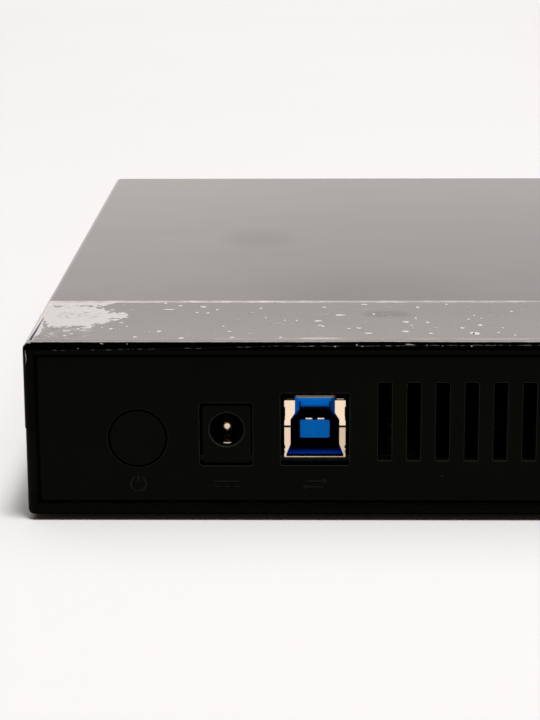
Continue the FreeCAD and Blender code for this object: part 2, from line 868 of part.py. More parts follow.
def make_usb_insulator():
    gap = usb_insulator_clearance
    x0 = usb_x - usb_width / 2 + usb_sheet + gap
    x1 = usb_x + usb_width / 2 - usb_sheet - gap
    front = usb_face + usb_sheet
    low = board_top + usb_sheet
    high = board_top + usb_height - usb_sheet - gap
    cavity_end = usb_face + usb_cavity_depth
    block = box(x0, x1, front, cavity_end + usb_back_wall, low, high)
    inner = mouth_outline(usb_lead_in_side, usb_lead_in, usb_lip_rise + usb_lead_in_floor)
    cavity = prism_y(inner, front + usb_lead_in_depth, cavity_end)
    sections = []
    mouth = mouth_outline(0, 0, usb_lip_rise)
    for y, outline in ((front, mouth), (front + usb_lead_in_depth, inner)):
        corners = [FreeCAD.Vector(x, y, z) for x, z in outline]
        sections.append(Part.makePolygon(corners + corners[:1]))
    lead_in = Part.makeLoft(sections, True, True)
    tongue_half = usb_tongue_width / 2
    tongue = box(
        usb_x - tongue_half, usb_x + tongue_half,
        usb_face + usb_tongue_inset, cavity_end + usb_back_wall / 2,
        board_top + usb_tongue_low, board_top + usb_tongue_high,
    )
    tongue = tongue.makeFillet(usb_tongue_edge_radius, edges_along(tongue, 1))
    bar_front = front + usb_lead_in_depth
    bar_low = board_top + usb_bar_low
    bar = box(
        usb_x - usb_bar_width / 2, usb_x + usb_bar_width / 2, bar_front, cavity_end + usb_back_wall / 2,
        bar_low, board_top + usb_hump_top,
    )
    rounded = [
        edge for edge in edges_along(bar, 0)
        if edge.CenterOfMass.y < bar_front + 0.1 and edge.CenterOfMass.z < bar_low + 0.1
    ]
    bar = bar.makeFillet(usb_bar_radius, rounded)
    lip_under = board_top + usb_mouth_bottom + usb_lip_rise - usb_lip_thickness
    hollows = [box(x0, x1, front, front + usb_lip_hollow, low, lip_under)]
    ear_low = board_top + usb_height - usb_ear_height
    for side in (-1, 1):
        near = usb_x + side * (usb_width / 2 - usb_ear_width)
        far = usb_x + side * usb_width / 2
        left = min(near, far)
        ear_end = front + usb_ear_depth
        hollows.append(box(left, left + usb_ear_width, front, ear_end, ear_low, height))
    return cut_all(block, [cavity, lead_in] + hollows).fuse([tongue, bar]).removeSplitter()


def make_usb_contacts():
    contacts = []
    cavity_end = usb_face + usb_cavity_depth
    tongue_face = usb_face + usb_tongue_inset
    rows = (
        (tongue_face + usb_contact_inset, board_top + usb_tongue_high),
        (tongue_face + usb_lower_contact_inset, board_top + usb_tongue_low - usb_contact_thickness),
    )
    for side in (-1, 1):
        x = usb_x - side * usb_contact_spacing / 2
        for front, z in rows:
            contacts.append(
                box(
                    x - usb_contact_width / 2, x + usb_contact_width / 2, front, cavity_end,
                    z, z + usb_contact_thickness,
                )
            )
    roof = board_top + usb_bar_low
    fast_front = usb_face + usb_sheet + usb_lead_in_depth + usb_fast_contact_inset
    for number in range(usb_fast_contact_count):
        x = usb_x + (number - (usb_fast_contact_count - 1) / 2) * usb_fast_contact_pitch
        contacts.append(
            box(
                x - usb_fast_contact_width / 2, x + usb_fast_contact_width / 2, fast_front, cavity_end,
                roof - usb_contact_thickness, roof,
            )
        )
    return contacts


def spring_slot():
    # Space at the bottom of the power socket's bore for the spring contact
    half = dc_spring_width / 2 + dc_spring_clearance
    depth = dc_spring_roll_drop + dc_spring_roll + dc_spring_clearance
    low = dc_hole_z - dc_hole_radius - depth
    start = dc_face + dc_spring_inset - dc_spring_roll - dc_spring_clearance
    return box(dc_x - half, dc_x + half, start, dc_face + dc_hole_depth, low, dc_hole_z)


def make_dc_body():
    half = dc_collar_width / 2
    top = dc_collar_bottom + dc_collar_height
    collar = rounded_box(
        dc_x - half, dc_x + half, dc_face, dc_face + dc_collar_depth,
        dc_collar_bottom, top, dc_corner_radius, 1,
    )
    body_half = dc_body_width / 2
    body = box(
        dc_x - body_half, dc_x + body_half, dc_face + dc_collar_depth,
        dc_face + dc_collar_depth + dc_body_depth, board_top, top - dc_body_step,
    )
    jack = collar.fuse(body).removeSplitter()
    bore = rod_y(dc_x, dc_hole_z, dc_face - 1, dc_face + dc_hole_depth, dc_hole_radius)
    lip = Part.makeCone(
        dc_hole_radius + dc_hole_lip, dc_hole_radius, dc_hole_lip,
        FreeCAD.Vector(dc_x, dc_face, dc_hole_z), FreeCAD.Vector(0, 1, 0),
    )
    return cut_all(jack, [bore.fuse(lip), spring_slot()])


def make_dc_pin():
    tip = dc_face + dc_pin_inset
    pin = rod_y(dc_x, dc_hole_z, tip, dc_face + dc_hole_depth, dc_pin_radius)
    chosen = [edge for edge in pin.Edges if abs(edge.BoundBox.YMax - tip) < 1e-6]
    return pin.makeFillet(dc_pin_tip_radius, chosen)


def make_dc_spring():
    # Leaf with a rolled front end, bowed up into the bore so that it presses on the plug
    start = dc_face + dc_spring_inset
    end = dc_face + dc_hole_depth
    top = dc_hole_z - dc_hole_radius
    crest = start + dc_spring_crest
    upper = [
        (start, top),
        (crest - dc_spring_crest_half, top + dc_spring_rise),
        (crest + dc_spring_crest_half, top + dc_spring_rise),
        (end, top),
    ]
    lower = [(y, z - dc_spring_thickness) for y, z in reversed(upper)]
    left = dc_x - dc_spring_width / 2
    leaf = prism_x(upper + lower, left, left + dc_spring_width)
    roll = Part.makeCylinder(
        dc_spring_roll, dc_spring_width, FreeCAD.Vector(left, start, top - dc_spring_roll_drop),
        FreeCAD.Vector(1, 0, 0),
    )
    return leaf.fuse(roll).removeSplitter()


def make_button_cap():
    cap = rod_y(button_x, button_z, button_face, button_back, button_radius)
    chosen = [edge for edge in cap.Edges if abs(edge.BoundBox.YMax - button_face) < 1e-6]
    cap = cap.makeFillet(button_edge_radius, chosen)
    flange = rod_y(
        button_x, button_z, button_back - button_flange_thickness, button_back,
        button_radius + button_flange_reach,
    )
    stem_start = button_back - button_flange_thickness / 2
    stem = rod_y(button_x, button_z, stem_start, stem_end, button_stem_radius)
    half = plunger_size / 2 + plunger_clearance
    socket = box(
        button_x - half, button_x + half, stem_end - plunger_grip, stem_end + 1,
        button_z - half, button_z + half,
    )
    return cap.multiFuse([flange, stem]).removeSplitter().cut(socket)


def make_plunger():
    half = plunger_size / 2
    plunger = box(
        button_x - half, button_x + half, stem_end - plunger_grip, switch_front + plunger_in_switch,
        button_z - half, button_z + half,
    )
    return plunger


def make_switch_body():
    half = switch_width / 2
    body = box(
        button_x - half, button_x + half, switch_front, switch_front + switch_depth, board_top,
        board_top + switch_height,
    )
    body = body.makeFillet(switch_edge_radius, edges_along(body, 1))
    hole_half = plunger_size / 2 + plunger_clearance
    hole_end = switch_front + plunger_in_switch + button_travel + switch_hole_margin
    hole = box(
        button_x - hole_half, button_x + hole_half, switch_front - 1, hole_end,
        button_z - hole_half, button_z + hole_half,
    )
    return body.cut(hole)


def sata_segments():
    # Left end and pin count of the signal slot and the power slot
    signal = (sata_signal_count - 1) * sata_pitch + 2 * sata_slot_end
    power = (sata_power_count - 1) * sata_pitch + 2 * sata_slot_end
    start = sata_x - (signal + sata_slot_wall + power) / 2
    return [
        (start, signal, sata_signal_count),
        (start + signal + sata_slot_wall, power, sata_power_count),
    ]


def make_sata_body():
    low = sata_z - sata_height / 2
    body = box(
        sata_x - sata_half_width, sata_x + sata_half_width,
        sata_rear, sata_front, low, low + sata_height,
    )
    body = body.makeFillet(sata_edge_radius, edges_along(body, 1))
    foot = box(
        sata_x - sata_foot_half, sata_x + sata_foot_half, board_front - sata_foot_depth, sata_rear + 1,
        low + sata_foot_step, board_under,
    )
    body = body.fuse(foot).removeSplitter()
    cuts = []
    slot_low = sata_z - sata_slot_height / 2
    slot_rear = sata_front - sata_slot_depth
    for start, slot_width, _ in sata_segments():
        end = start + slot_width
        slot_high = slot_low + sata_slot_height
        cuts.append(box(start, end, slot_rear, sata_front + 1, slot_low, slot_high))
        cuts.append(
            box(
                start, start + sata_key_width, slot_rear, sata_front + 1,
                slot_low - sata_key_height, slot_low + 0.1,
            )
        )
    return cut_all(body, cuts)


def make_sata_contacts():
    contacts = []
    slot_top = sata_z + sata_slot_height / 2
    tail_front = board_front - sata_foot_depth
    half = sata_contact_width / 2
    for start, _, count in sata_segments():
        for number in range(count):
            x = start + sata_slot_end + number * sata_pitch
            contacts.append(
                box(
                    x - half, x + half, sata_front - sata_slot_depth, sata_front - sata_contact_inset,
                    slot_top - sata_contact_thickness, slot_top,
                )
            )
            contacts.append(
                box(
                    x - half, x + half, tail_front - sata_tail_length, tail_front,
                    board_under - sata_contact_thickness, board_under,
                )
            )
    return contacts


def on_board(place):
    return board_left + place[0], board_front - place[1]


def chip(place, size_x, size_y, thickness):
    x, y = on_board(place)
    lift = lead_foot_thickness
    return box(
        x - size_x / 2, x + size_x / 2, y - size_y / 2, y + size_y / 2,
        board_top + lift, board_top + lift + thickness,
    )


def feet_along_x(place, size_y, count, pitch):
    # Lead feet on the two sides of a chip that run along X
    x, y = on_board(place)
    feet = []
    for side in (-1, 1):
        near = y + side * (size_y / 2 - lead_foot_length / 3)
        far = near + side * lead_foot_length
        for number in range(count):
            middle = x + (number - (count - 1) / 2) * pitch
            feet.append(
                box(
                    middle - lead_foot_width / 2, middle + lead_foot_width / 2,
                    min(near, far), max(near, far),
                    board_top, board_top + lead_foot_thickness,
                )
            )
    return feet


def feet_along_y(place, size_x, count, pitch):
    # Lead feet on the two sides of a chip that run along Y
    x, y = on_board(place)
    feet = []
    for side in (-1, 1):
        near = x + side * (size_x / 2 - lead_foot_length / 3)
        far = near + side * lead_foot_length
        for number in range(count):
            middle = y + (number - (count - 1) / 2) * pitch
            feet.append(
                box(
                    min(near, far), max(near, far),
                    middle - lead_foot_width / 2, middle + lead_foot_width / 2,
                    board_top, board_top + lead_foot_thickness,
                )
            )
    return feet


def make_bridge_leads():
    pitch = (bridge_size - 2 * bridge_lead_margin) / (bridge_lead_count - 1)
    leads = feet_along_x(bridge_place, bridge_size, bridge_lead_count, pitch)
    return leads + feet_along_y(bridge_place, bridge_size, bridge_lead_count, pitch)


def make_flash_leads():
    pitch = (flash_size[0] - 2 * flash_lead_margin) / (flash_lead_count - 1)
    return feet_along_x(flash_place, flash_size[1], flash_lead_count, pitch)


def board_block(place, size):
    x, y = on_board(place)
    return box(
        x - size[0] / 2, x + size[0] / 2, y - size[1] / 2, y + size[1] / 2,
        board_top, board_top + size[2],
    )


def make_inductor():
    block = board_block(inductor_place, (inductor_size, inductor_size, inductor_height))
    return block.makeFillet(inductor_size / 5, edges_along(block, 2))


def make_can(place):
    # Aluminium can on its square black base
    x, y = on_board(place)
    top = board_top + can_height
    can = rod_z(x, y, board_top + can_base_height, top, can_radius)
    can = can.makeFillet(can_edge_radius, edges_at_z(can, top))
    side = 2 * (can_radius + can_base_margin)
    base = board_block(place, (side, side, can_base_height))
    return can, base


def make_header():
    # Open shroud on the board that the lamp's plug pushes into
    half = header_width / 2
    top = board_top + header_height
    outer = box(lamp_x - half, lamp_x + half, header_rear, header_front, board_top, top)
    inner = box(
        lamp_x - half + header_wall, lamp_x + half - header_wall,
        header_rear + header_wall, header_front + 1,
        board_top + header_wall, top - header_wall,
    )
    return outer.cut(inner)


def make_plug():
    half = header_width / 2 - header_wall - plug_clearance
    low = board_top + header_wall
    high = board_top + header_height - header_wall - plug_clearance
    return box(lamp_x - half, lamp_x + half, plug_rear, plug_front, low, high)


def rounded_path(points, radius):
    # Straight runs joined by arcs that touch them
    edges = []
    start = points[0]
    for before, corner, after in zip(points, points[1:], points[2:]):
        way_in = (corner - before).normalize()
        way_out = (after - corner).normalize()
        half_turn = way_in.getAngle(way_out) / 2
        trim = radius * math.tan(half_turn)
        arc_start = corner - way_in * trim
        arc_end = corner + way_out * trim
        inward = (way_out - way_in).normalize()
        arc_middle = corner + inward * (radius / math.cos(half_turn) - radius)
        edges.append(Part.LineSegment(start, arc_start).toShape())
        edges.append(Part.Arc(arc_start, arc_middle, arc_end).toShape())
        start = arc_end
    edges.append(Part.LineSegment(start, points[-1]).toShape())
    return Part.Wire(edges)


def make_wire(name, x):
    # From the plug down between board and drive, along the floor and up to the lamp's board
    plug_z = board_top + header_height / 2
    drop_y = plug_front + plug_bend_run + wire_bend
    floor_z = floor_top + wire_radius + wire_floor_gap
    route = [
        FreeCAD.Vector(x, plug_front, plug_z),
        FreeCAD.Vector(x, drop_y, plug_z),
        FreeCAD.Vector(x, drop_y, floor_z),
        FreeCAD.Vector(x, wire_rise_y, floor_z),
        FreeCAD.Vector(x, wire_rise_y, wire_end_z),
    ]
    path = rounded_path(route, wire_bend)
    section = Part.Wire(Part.makeCircle(wire_radius, route[0], FreeCAD.Vector(0, 1, 0)))
    tube = path.makePipeShell([section], True, False)
    expected = path.Length * math.pi * wire_radius**2
    print(name, "length", round(path.Length, 1), "bend radius", wire_bend, "volume ratio",
          round(tube.Volume / expected, 4))
    return tube


def make_solder():
    # Blocks that join the two wires to the lamp's board
    blocks = []
    for x in wire_xs:
        blocks.append(
            box(
                x - solder_size / 2, x + solder_size / 2,
                lamp_board_back - solder_size, lamp_board_back,
                wire_end_z, wire_end_z + solder_size,
            )
        )
    return blocks


def make_lamp_board():
    half = lamp_board_size / 2
    left = lamp_x - half
    low = lamp_z - half
    return box(
        left, left + lamp_board_size, lamp_board_back, lamp_board_front, low, low + lamp_board_size
    )


def make_lamp():
    flange_end = lamp_board_front + lamp_flange_thickness
    base = rod_y(lamp_x, lamp_z, lamp_board_front, flange_end, lamp_flange_radius)
    body_end = lamp_board_front + lamp_length - lamp_radius
    body = rod_y(lamp_x, lamp_z, lamp_board_front, body_end, lamp_radius)
    dome = Part.makeSphere(lamp_radius, FreeCAD.Vector(lamp_x, body_end, lamp_z))
    return base.multiFuse([body, dome]).removeSplitter()


def make_lens():
    flange_rear = front_back - lens_flange_thickness
    flange = rod_y(lamp_x, lamp_z, flange_rear, front_back, lens_flange_radius)
    face = half_length - panel_inset
    window = rod_y(lamp_x, lamp_z, flange_rear, face, lens_radius)
    chosen = [edge for edge in window.Edges if abs(edge.BoundBox.YMin - face) < 1e-6]
    window = window.makeFillet(lens_edge_radius, chosen)
    return flange.fuse(window).removeSplitter()


def make_drive_pads():
    pads = []
    half = drive_pad_size / 2
    x_place = drive_half - drive_pad_inset_x
    for side in (-1, 1):
        for y in (drive_rear + drive_pad_inset_y, drive_front - drive_pad_inset_y):
            x = side * x_place
            pads.append(box(x - half, x + half, y - half, y + half, floor_top, drive_bottom))
    return pads


def make_foam_pads():
    pads = []
    middle = (drive_rear + drive_front) / 2
    for side in (-1, 1):
        x = side * foam_spacing / 2
        pads.append(
            box(
                x - foam_width / 2, x + foam_width / 2,
                middle - foam_length / 2, middle + foam_length / 2,
                roof_under - foam_thickness, roof_under,
            )
        )
    return pads


def make_tape():
    # Thin film on the roof that just follows its rounded edge
    film = cover_block(tape_thickness).cut(cover_block(0))
    reach = half_width - tape_side_margin
    end = -half_length + tape_length
    return film.common(box(-reach, reach, -half_length - 1, end, height - tape_wrap, height + 1))


save("bottom_shell", make_bottom_shell())
save("top_cover", make_top_cover())
save("rear_panel", make_rear_panel())
save("front_panel", make_front_panel())
save("rubber_feet", *make_feet())
save("cover_screws", *make_cover_screws())
save("circuit_board", make_board())
save("board_screws", *make_board_screws())
save("usb_socket_shell", make_usb_shell())
save("usb_socket_insulator", make_usb_insulator())
save("usb_socket_contacts", *make_usb_contacts())
save("dc_jack_body", make_dc_body())
save("dc_jack_pin", make_dc_pin())
save("dc_jack_spring", make_dc_spring())
save("power_button_cap", make_button_cap())
save("power_switch_plunger", make_plunger())
save("power_switch_body", make_switch_body())
save("sata_connector_body", make_sata_body())
save("sata_contacts", *make_sata_contacts())
save("bridge_chip", chip(bridge_place, bridge_size, bridge_size, bridge_thickness))
save("bridge_chip_leads", *make_bridge_leads())
save("flash_chip", chip(flash_place, flash_size[0], flash_size[1], flash_thickness))
save("flash_chip_leads", *make_flash_leads())
save("crystal_can", board_block(crystal_place, crystal_size))
save("regulator_chip", board_block(regulator_place, regulator_size))
save("inductor", make_inductor())
can_pairs = [make_can(place) for place in can_places]
save("capacitor_cans", *[can for can, base in can_pairs])
save("capacitor_bases", *[base for can, base in can_pairs])
save("chip_capacitors", *[board_block(place, chip_cap_size) for place in chip_cap_places])
save("lamp_header", make_header())
save("lamp_plug", make_plug())
save("lamp_wire_red", make_wire("lamp_wire_red", wire_xs[0]))
save("lamp_wire_black", make_wire("lamp_wire_black", wire_xs[1]))
save("lamp_solder", *make_solder())
save("lamp_board", make_lamp_board())
save("status_lamp", make_lamp())
save("lamp_lens", make_lens())
save("drive_rest_pads", *make_drive_pads())
save("cover_foam_pads", *make_foam_pads())
save("clear_tape", make_tape())
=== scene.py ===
import json
import math
import random

import bpy
from mathutils import Matrix, Vector


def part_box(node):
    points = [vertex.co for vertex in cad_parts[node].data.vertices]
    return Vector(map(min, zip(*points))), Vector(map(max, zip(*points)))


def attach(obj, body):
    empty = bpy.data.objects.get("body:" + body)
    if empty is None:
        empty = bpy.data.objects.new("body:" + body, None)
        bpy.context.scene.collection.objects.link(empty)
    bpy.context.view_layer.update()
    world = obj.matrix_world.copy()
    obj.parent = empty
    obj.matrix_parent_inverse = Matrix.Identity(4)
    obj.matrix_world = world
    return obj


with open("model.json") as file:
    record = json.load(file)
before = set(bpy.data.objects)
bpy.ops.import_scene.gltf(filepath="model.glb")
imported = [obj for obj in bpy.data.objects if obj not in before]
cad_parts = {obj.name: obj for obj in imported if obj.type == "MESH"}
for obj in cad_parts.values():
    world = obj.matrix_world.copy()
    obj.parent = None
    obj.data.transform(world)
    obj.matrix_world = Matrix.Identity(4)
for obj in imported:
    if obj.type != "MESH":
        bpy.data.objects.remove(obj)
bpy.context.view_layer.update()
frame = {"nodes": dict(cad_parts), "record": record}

MM = 0.001
random.seed(7)

# Places on the object, from the frame, in metres
cover_low, cover_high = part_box("top_cover")
_, tape_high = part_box("clear_tape")
panel_low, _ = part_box("rear_panel")
socket_low, socket_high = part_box("usb_socket_insulator")
contact_low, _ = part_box("usb_socket_contacts")
sheet_low, sheet_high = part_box("usb_socket_shell")
sheet_middle = (sheet_low + sheet_high) / 2
COVER_TOP = cover_high.z
FILM_TOP = tape_high.z
REAR = cover_low.y
EDGE_RADIUS = 1.4 * MM
CORNER_RADIUS = 1.6 * MM

# The data socket's tongue, and the hump above it
SOCKET_X = (socket_low.x + socket_high.x) / 2
TONGUE_END = contact_low.y - 0.3 * MM
TONGUE_LOW = 15.1 * MM
TONGUE_HIGH = 18.63 * MM
HUMP_LOW = 20.7 * MM

# Where the film has come off in chips: across, along, width and length in millimetres
CHIPS = (
    (-3.2, -69, 1, 1.4), (-0.3, -76.3, 2.2, 1.4), (-4.5, -81.4, 1.7, 1.4), (-4.1, -85.3, 1, 1.2),
    (-3.6, -86.1, 0.5, 1.2), (-8.7, -81.1, 0.4, 1.4), (4.9, -66.4, 1.4, 1.3),
    (6.5, -75.4, 0.5, 1.7), (1.3, -88, 0.9, 1.1), (3.3, -87.6, 1.4, 1.2), (5, -92, 1.6, 1.4),
    (12.5, -82.4, 1.4, 1.5), (12.1, -90.6, 1.5, 1.5), (15.5, -69.1, 0.7, 1.3),
    (21.4, -66.2, 0.6, 1.3), (14.6, -78.9, 0.4, 1.6), (16.7, -82.6, 0.8, 1.4),
    (13.5, -85.2, 0.4, 1.1), (16.8, -92, 0.9, 1.1), (23.1, -87.4, 0.9, 1.4),
    (26.2, -76.5, 0.5, 1), (24.8, -80, 0.5, 1.1), (27.4, -79.3, 0.5, 1), (26.7, -85.1, 0.8, 1.6),
    (24.6, -91.8, 1.1, 2.1), (25.4, -92.1, 1.8, 2.1), (30.8, -87.4, 0.4, 1.3),
    (29.7, -91.3, 0.6, 0.9), (32.6, -93.5, 0.5, 1.4), (33.9, -73, 0.6, 1.2),
    (-32.1, -67.6, 0.8, 1.3), (-27.5, -68.6, 1.3, 1.5), (-24.6, -71.3, 0.6, 1.3),
    (-28.5, -73.9, 0.8, 1.1), (-26.3, -74.2, 0.8, 1.2), (-15.9, -70, 0.6, 1.4),
    (-14.8, -78.5, 0.5, 1), (-11, -80.8, 0.4, 1.1), (-22.8, -85.9, 0.4, 1.2),
    (-21.5, -90.5, 1, 1.1), (-20.8, -95.4, 1.1, 1.4), (-11.7, -95.4, 0.7, 1.2),
    (-30.4, -96, 1.1, 1.4), (-35, -90.3, 0.9, 1.5), (-39.2, -95, 1, 1.3),
    (-41.4, -86.1, 0.4, 1.2), (-42.8, -82.9, 0.8, 1.1), (-34.3, -71.1, 2.7, 1),
    (-35.2, -65.2, 0.9, 1.2), (-52.6, -93.8, 0.7, 1.2), (-51.5, -92.3, 0.6, 1.1),
    (-50.6, -88.2, 1, 1.2), (-49.1, -87.2, 2, 1.5), (-49.4, -67.5, 1, 1.2),
    (-47.5, -67.1, 1.2, 1.1), (-46.1, -87.1, 0.5, 0.8), (-44.3, -88.1, 0.8, 1.2),
    (-43.3, -74.7, 2.2, 2.2),
    (-42.4, -78.3, 1.4, 0.8), (-44.3, -80.3, 1.9, 1.6),
)
# Fainter chips, listed the same way
FAINT_CHIPS = (
    (-2.1, -70.5, 0.4, 1.2), (-0.3, -68.9, 0.7, 1), (-2.6, -75.4, 1, 1), (-3.8, -77, 0.9, 0.9),
    (-4.3, -89.5, 0.4, 1.1), (-7.7, -88.7, 0.4, 0.7), (-7.3, -91.3, 0.9, 0.8),
    (-8.1, -93.1, 0.4, 1.1), (-8.3, -82.7, 0.4, 0.7), (-9.6, -84.1, 0.4, 1),
    (-10.4, -82.3, 0.4, 0.9), (5, -71.2, 0.9, 0.6), (8.4, -75.4, 0.3, 0.9),
    (9.2, -74.8, 0.4, 0.8), (9.7, -77.4, 0.7, 0.8), (9.9, -69, 0.6, 1.2), (4.6, -82.9, 0.3, 1),
    (4.5, -89, 0.8, 1), (8.4, -92.5, 1, 0.6), (18.8, -68.9, 0.4, 0.7), (16.8, -73.9, 0.4, 1),
    (22.1, -72, 0.6, 0.8), (20.9, -75.2, 0.4, 0.8), (14.2, -79.9, 0.3, 1.1),
    (13.7, -87.6, 0.6, 1.7), (18, -87.4, 0.7, 1), (19.9, -83.4, 0.3, 0.7),
    (22.1, -82.2, 0.6, 0.7), (21.4, -92.9, 0.2, 0.6), (25.5, -69.4, 0.7, 0.9),
    (29.4, -76.7, 0.6, 0.8), (31.8, -76.5, 0.4, 0.9), (35.9, -71.1, 0.4, 0.8),
    (36.5, -72, 0.3, 0.8), (32.5, -86.2, 0.2, 0.6), (34.8, -93.5, 0.2, 0.6),
    (36.2, -93.2, 0.2, 0.6), (36.2, -90.9, 0.2, 0.6), (-17.7, -74.1, 1, 1),
    (-21.2, -69.7, 0.5, 0.9), (-20.2, -79.9, 0.5, 1), (-15.1, -76.6, 0.4, 0.8),
    (-13.8, -81.9, 0.7, 1.1), (-12.1, -83.7, 0.8, 0.9), (-11.2, -84.4, 0.4, 0.8),
    (-17.5, -92.2, 1.1, 1), (-13.9, -88.4, 0.6, 0.9), (-16.4, -96.2, 0.6, 0.9),
    (-16.6, -83.4, 0.4, 0.9), (-27.3, -94.8, 0.4, 0.8), (-31.5, -86.7, 0.4, 0.8),
    (-29.3, -89.3, 0.4, 0.8), (-34.3, -80.2, 0.4, 1.1), (-33.8, -87.7, 0.3, 0.7),
    (-32, -75.2, 0.7, 0.8), (-39.5, -75.5, 0.5, 0.8), (-38.9, -84.6, 0.3, 0.8),
    (-36.6, -91, 0.6, 1), (-43.7, -66.4, 0.6, 1.1), (-41.6, -71.6, 1.1, 1),
    (-23.9, -93.4, 0.4, 1.1), (-37.9, -69.5, 1.3, 0.7), (-48.5, -93.1, 0.4, 0.8),
    (-51.7, -96.4, 1, 0.9),
)

# A faint line of painted sheen round the cover's socket end: across in millimetres, degrees down
# from the top
SHEEN_PATH = (
    (-58, 86), (-49, 83), (-45, 80), (-40, 77), (-34, 75), (-28.5, 71), (-23, 68),
    (-17, 60), (-12, 54), (-6, 56), (5, 53.5), (16, 51), (33, 49), (60, 49),
)
# Brighter scuffs near that line: across, degrees down, width and length in millimetres
BRIGHT_SCUFFS = (
    (12.3, 43.0, 1.3, 0.25), (12.9, 44.5, 0.7, 0.15), (-1.5, 58.0, 0.5, 0.3),
    (3.6, 57.0, 0.6, 0.18), (2.6, 46.0, 0.4, 0.35), (8.4, 54.0, 1.2, 0.15),
    (-5.9, 55.0, 0.9, 0.15), (15.6, 49.0, 0.15, 0.4), (18.5, 54.0, 0.3, 0.2),
    (23.9, 56.0, 0.4, 0.25), (-45.2, 31.0, 0.5, 0.25), (-44.9, 37.0, 0.3, 0.2),
    (-40.3, 37.0, 0.25, 0.2), (-49.4, 72.0, 0.2, 0.2),
)
# Scuffs down the cover's corner: height, degrees round it, width and length in millimetres
CORNER_SCUFFS = (
    (33.0, 36.0, 0.12, 0.9), (32.3, 32.0, 0.22, 1.1),
    (31.6, 31.0, 0.2, 1.0), (30.9, 34.0, 0.1, 0.8),
)
CHIP_CORNERS = 7
SPECK_COUNT = 150
RIGHT_SHEEN_COUNT = 110
LEFT_SHEEN_COUNT = 20

# Heights over the film in millimetres: each kind of mark has a level of its own, because
# faces in one plane render dark
CHIP_LIFT = 0.020
FAINT_LIFT = 0.016
SPECK_LIFT = 0.012

# Heights over the rounding of the cover's socket end
BARE_ROUNDING_LIFT = 0.12 * MM
SHEEN_LIFT = 0.16 * MM
SHEEN_AND_SCUFF_LIFT = 0.18 * MM

# Ovals in millimetres: the middle across and along, then the half sizes
PATCH_OVALS = (
    (-52.6, -76.6, 7.9, 9.2), (-60.2, -80.0, 2.6, 22.0), (-53.5, -64.6, 7.5, 2.6),
    (-45.6, -76.5, 3.4, 2.4), (-58.9, -90.0, 1.5, 5.5),
)
WORN_OVALS = ((-54.3, -76.3, 1.9, 3.4), (-49.9, -75.9, 2.5, 3.6))
# A spot of painted shade on the film
FILM_SHADE_SPOT = (9.1, -75.6, 5.4, 4.0)
MOTTLED_SPOT = (-53.6, -91.2, 6.5, 6.2)
STREAK = (-4.4, -96.1, 5.0, 0.95)
LESS_GREY_SPOT = (-17.5, 7.3, 11.0, 15.0)
LESS_GREY_NEAR_SPOT = (6.5, -62.0, 26.0, 42.0)

# Bands in millimetres: where each starts, where it is full, where it fades, where it ends
PALE_LINE = (-96.75, -96.45, -95.8, -95.5)
DARK_LINE = (-97.75, -97.45, -96.75, -96.55)
UPPER_NOTCH = (19.15, 19.3, 21.25, 21.4)
LOWER_NOTCH = (12.75, 12.9, 13.3, 13.45)

# Colours; those in pairs run from the first to the second with a noise
BLACK = ((0.0018, 0.0024, 0.0013), (0.0036, 0.0046, 0.0026))
# Colour of the painted shade on the shell's rims
RIM_SHADE = (0.0004, 0.0006, 0.0004)
POLISH_GREY = (0.070, 0.064, 0.061)
POLISH_DUST = (0.12, 0.117, 0.112)
FILM_CLEAR = ((0.068, 0.062, 0.059), (0.092, 0.084, 0.080))
# The near colour is painted sheen toward the socket end; the dark one is painted shade
FILM_NEAR_SHEEN = (0.128, 0.118, 0.113)
FILM_SHADE = (0.012, 0.010, 0.010)
FILM_WHITE = ((0.50, 0.485, 0.475), (0.62, 0.60, 0.585))
FLECK_PALE = (0.46, 0.44, 0.43)
FLECK_DARK = (0.035, 0.030, 0.028)
STREAK_COLOUR = (0.46, 0.39, 0.36)
BORDER_STRONG = ((0.30, 0.27, 0.255), (0.62, 0.57, 0.55))
BORDER_WEAK = ((0.22, 0.20, 0.19), (0.46, 0.42, 0.40))
LINE_PALE = (0.34, 0.315, 0.30)
LINE_DARK = (0.045, 0.040, 0.038)
FRONT_RIM = ((0.15, 0.137, 0.13), (0.25, 0.23, 0.22))
# The socket sheet: the lower, top and deep colours are painted shade; the worn tone and the seam
# are its own
SHEET_LOWER = (0.30, 0.21, 0.14)
SHEET_WORN = (0.5, 0.4, 0.3)
SHEET_TOP = (0.15, 0.125, 0.095)
SHEET_SEAM = (0.03, 0.025, 0.02)
SHEET_DEEP = (0.012, 0.010, 0.007)
# The insulator's one blue in copies: a dark one for painted shade, lighter ones for painted light
BLUE_SHADED = ((0.0003, 0.0012, 0.010), (0.0006, 0.0024, 0.016))
BLUE_MOUTH_LIT = ((0.0010, 0.075, 0.66), (0.0018, 0.090, 0.74))
BLUE_LIT = ((0.0010, 0.23, 0.88), (0.0018, 0.26, 0.94))
# The board's colours, darkened far below a real green as painted shade inside the case
BOARD_MASK = (0.003, 0.016, 0.008)
BOARD_COPPER = (0.005, 0.026, 0.013)
BOARD_WEAVE = (0.006, 0.032, 0.016)

# Camera, found by matching the case's edges in the photograph
CAMERA_PLACE = (-7.08 * MM, -473.92 * MM, 123.85 * MM)
CAMERA_PITCH = math.radians(13.876)
CAMERA_YAW = math.radians(1.0)
CAMERA_ROLL = math.radians(-0.243)
CAMERA_LENS = 103.295
CAMERA_SENSOR = 36.0

# Light: the fill, what mirrors and clear parts show, and what the camera sees
WORLD_DIFFUSE = (0.066, 0.048, 0.038)
WARM_WHITE = (1.0, 0.935, 0.905)
WHITE = (1.0, 1.0, 1.0)

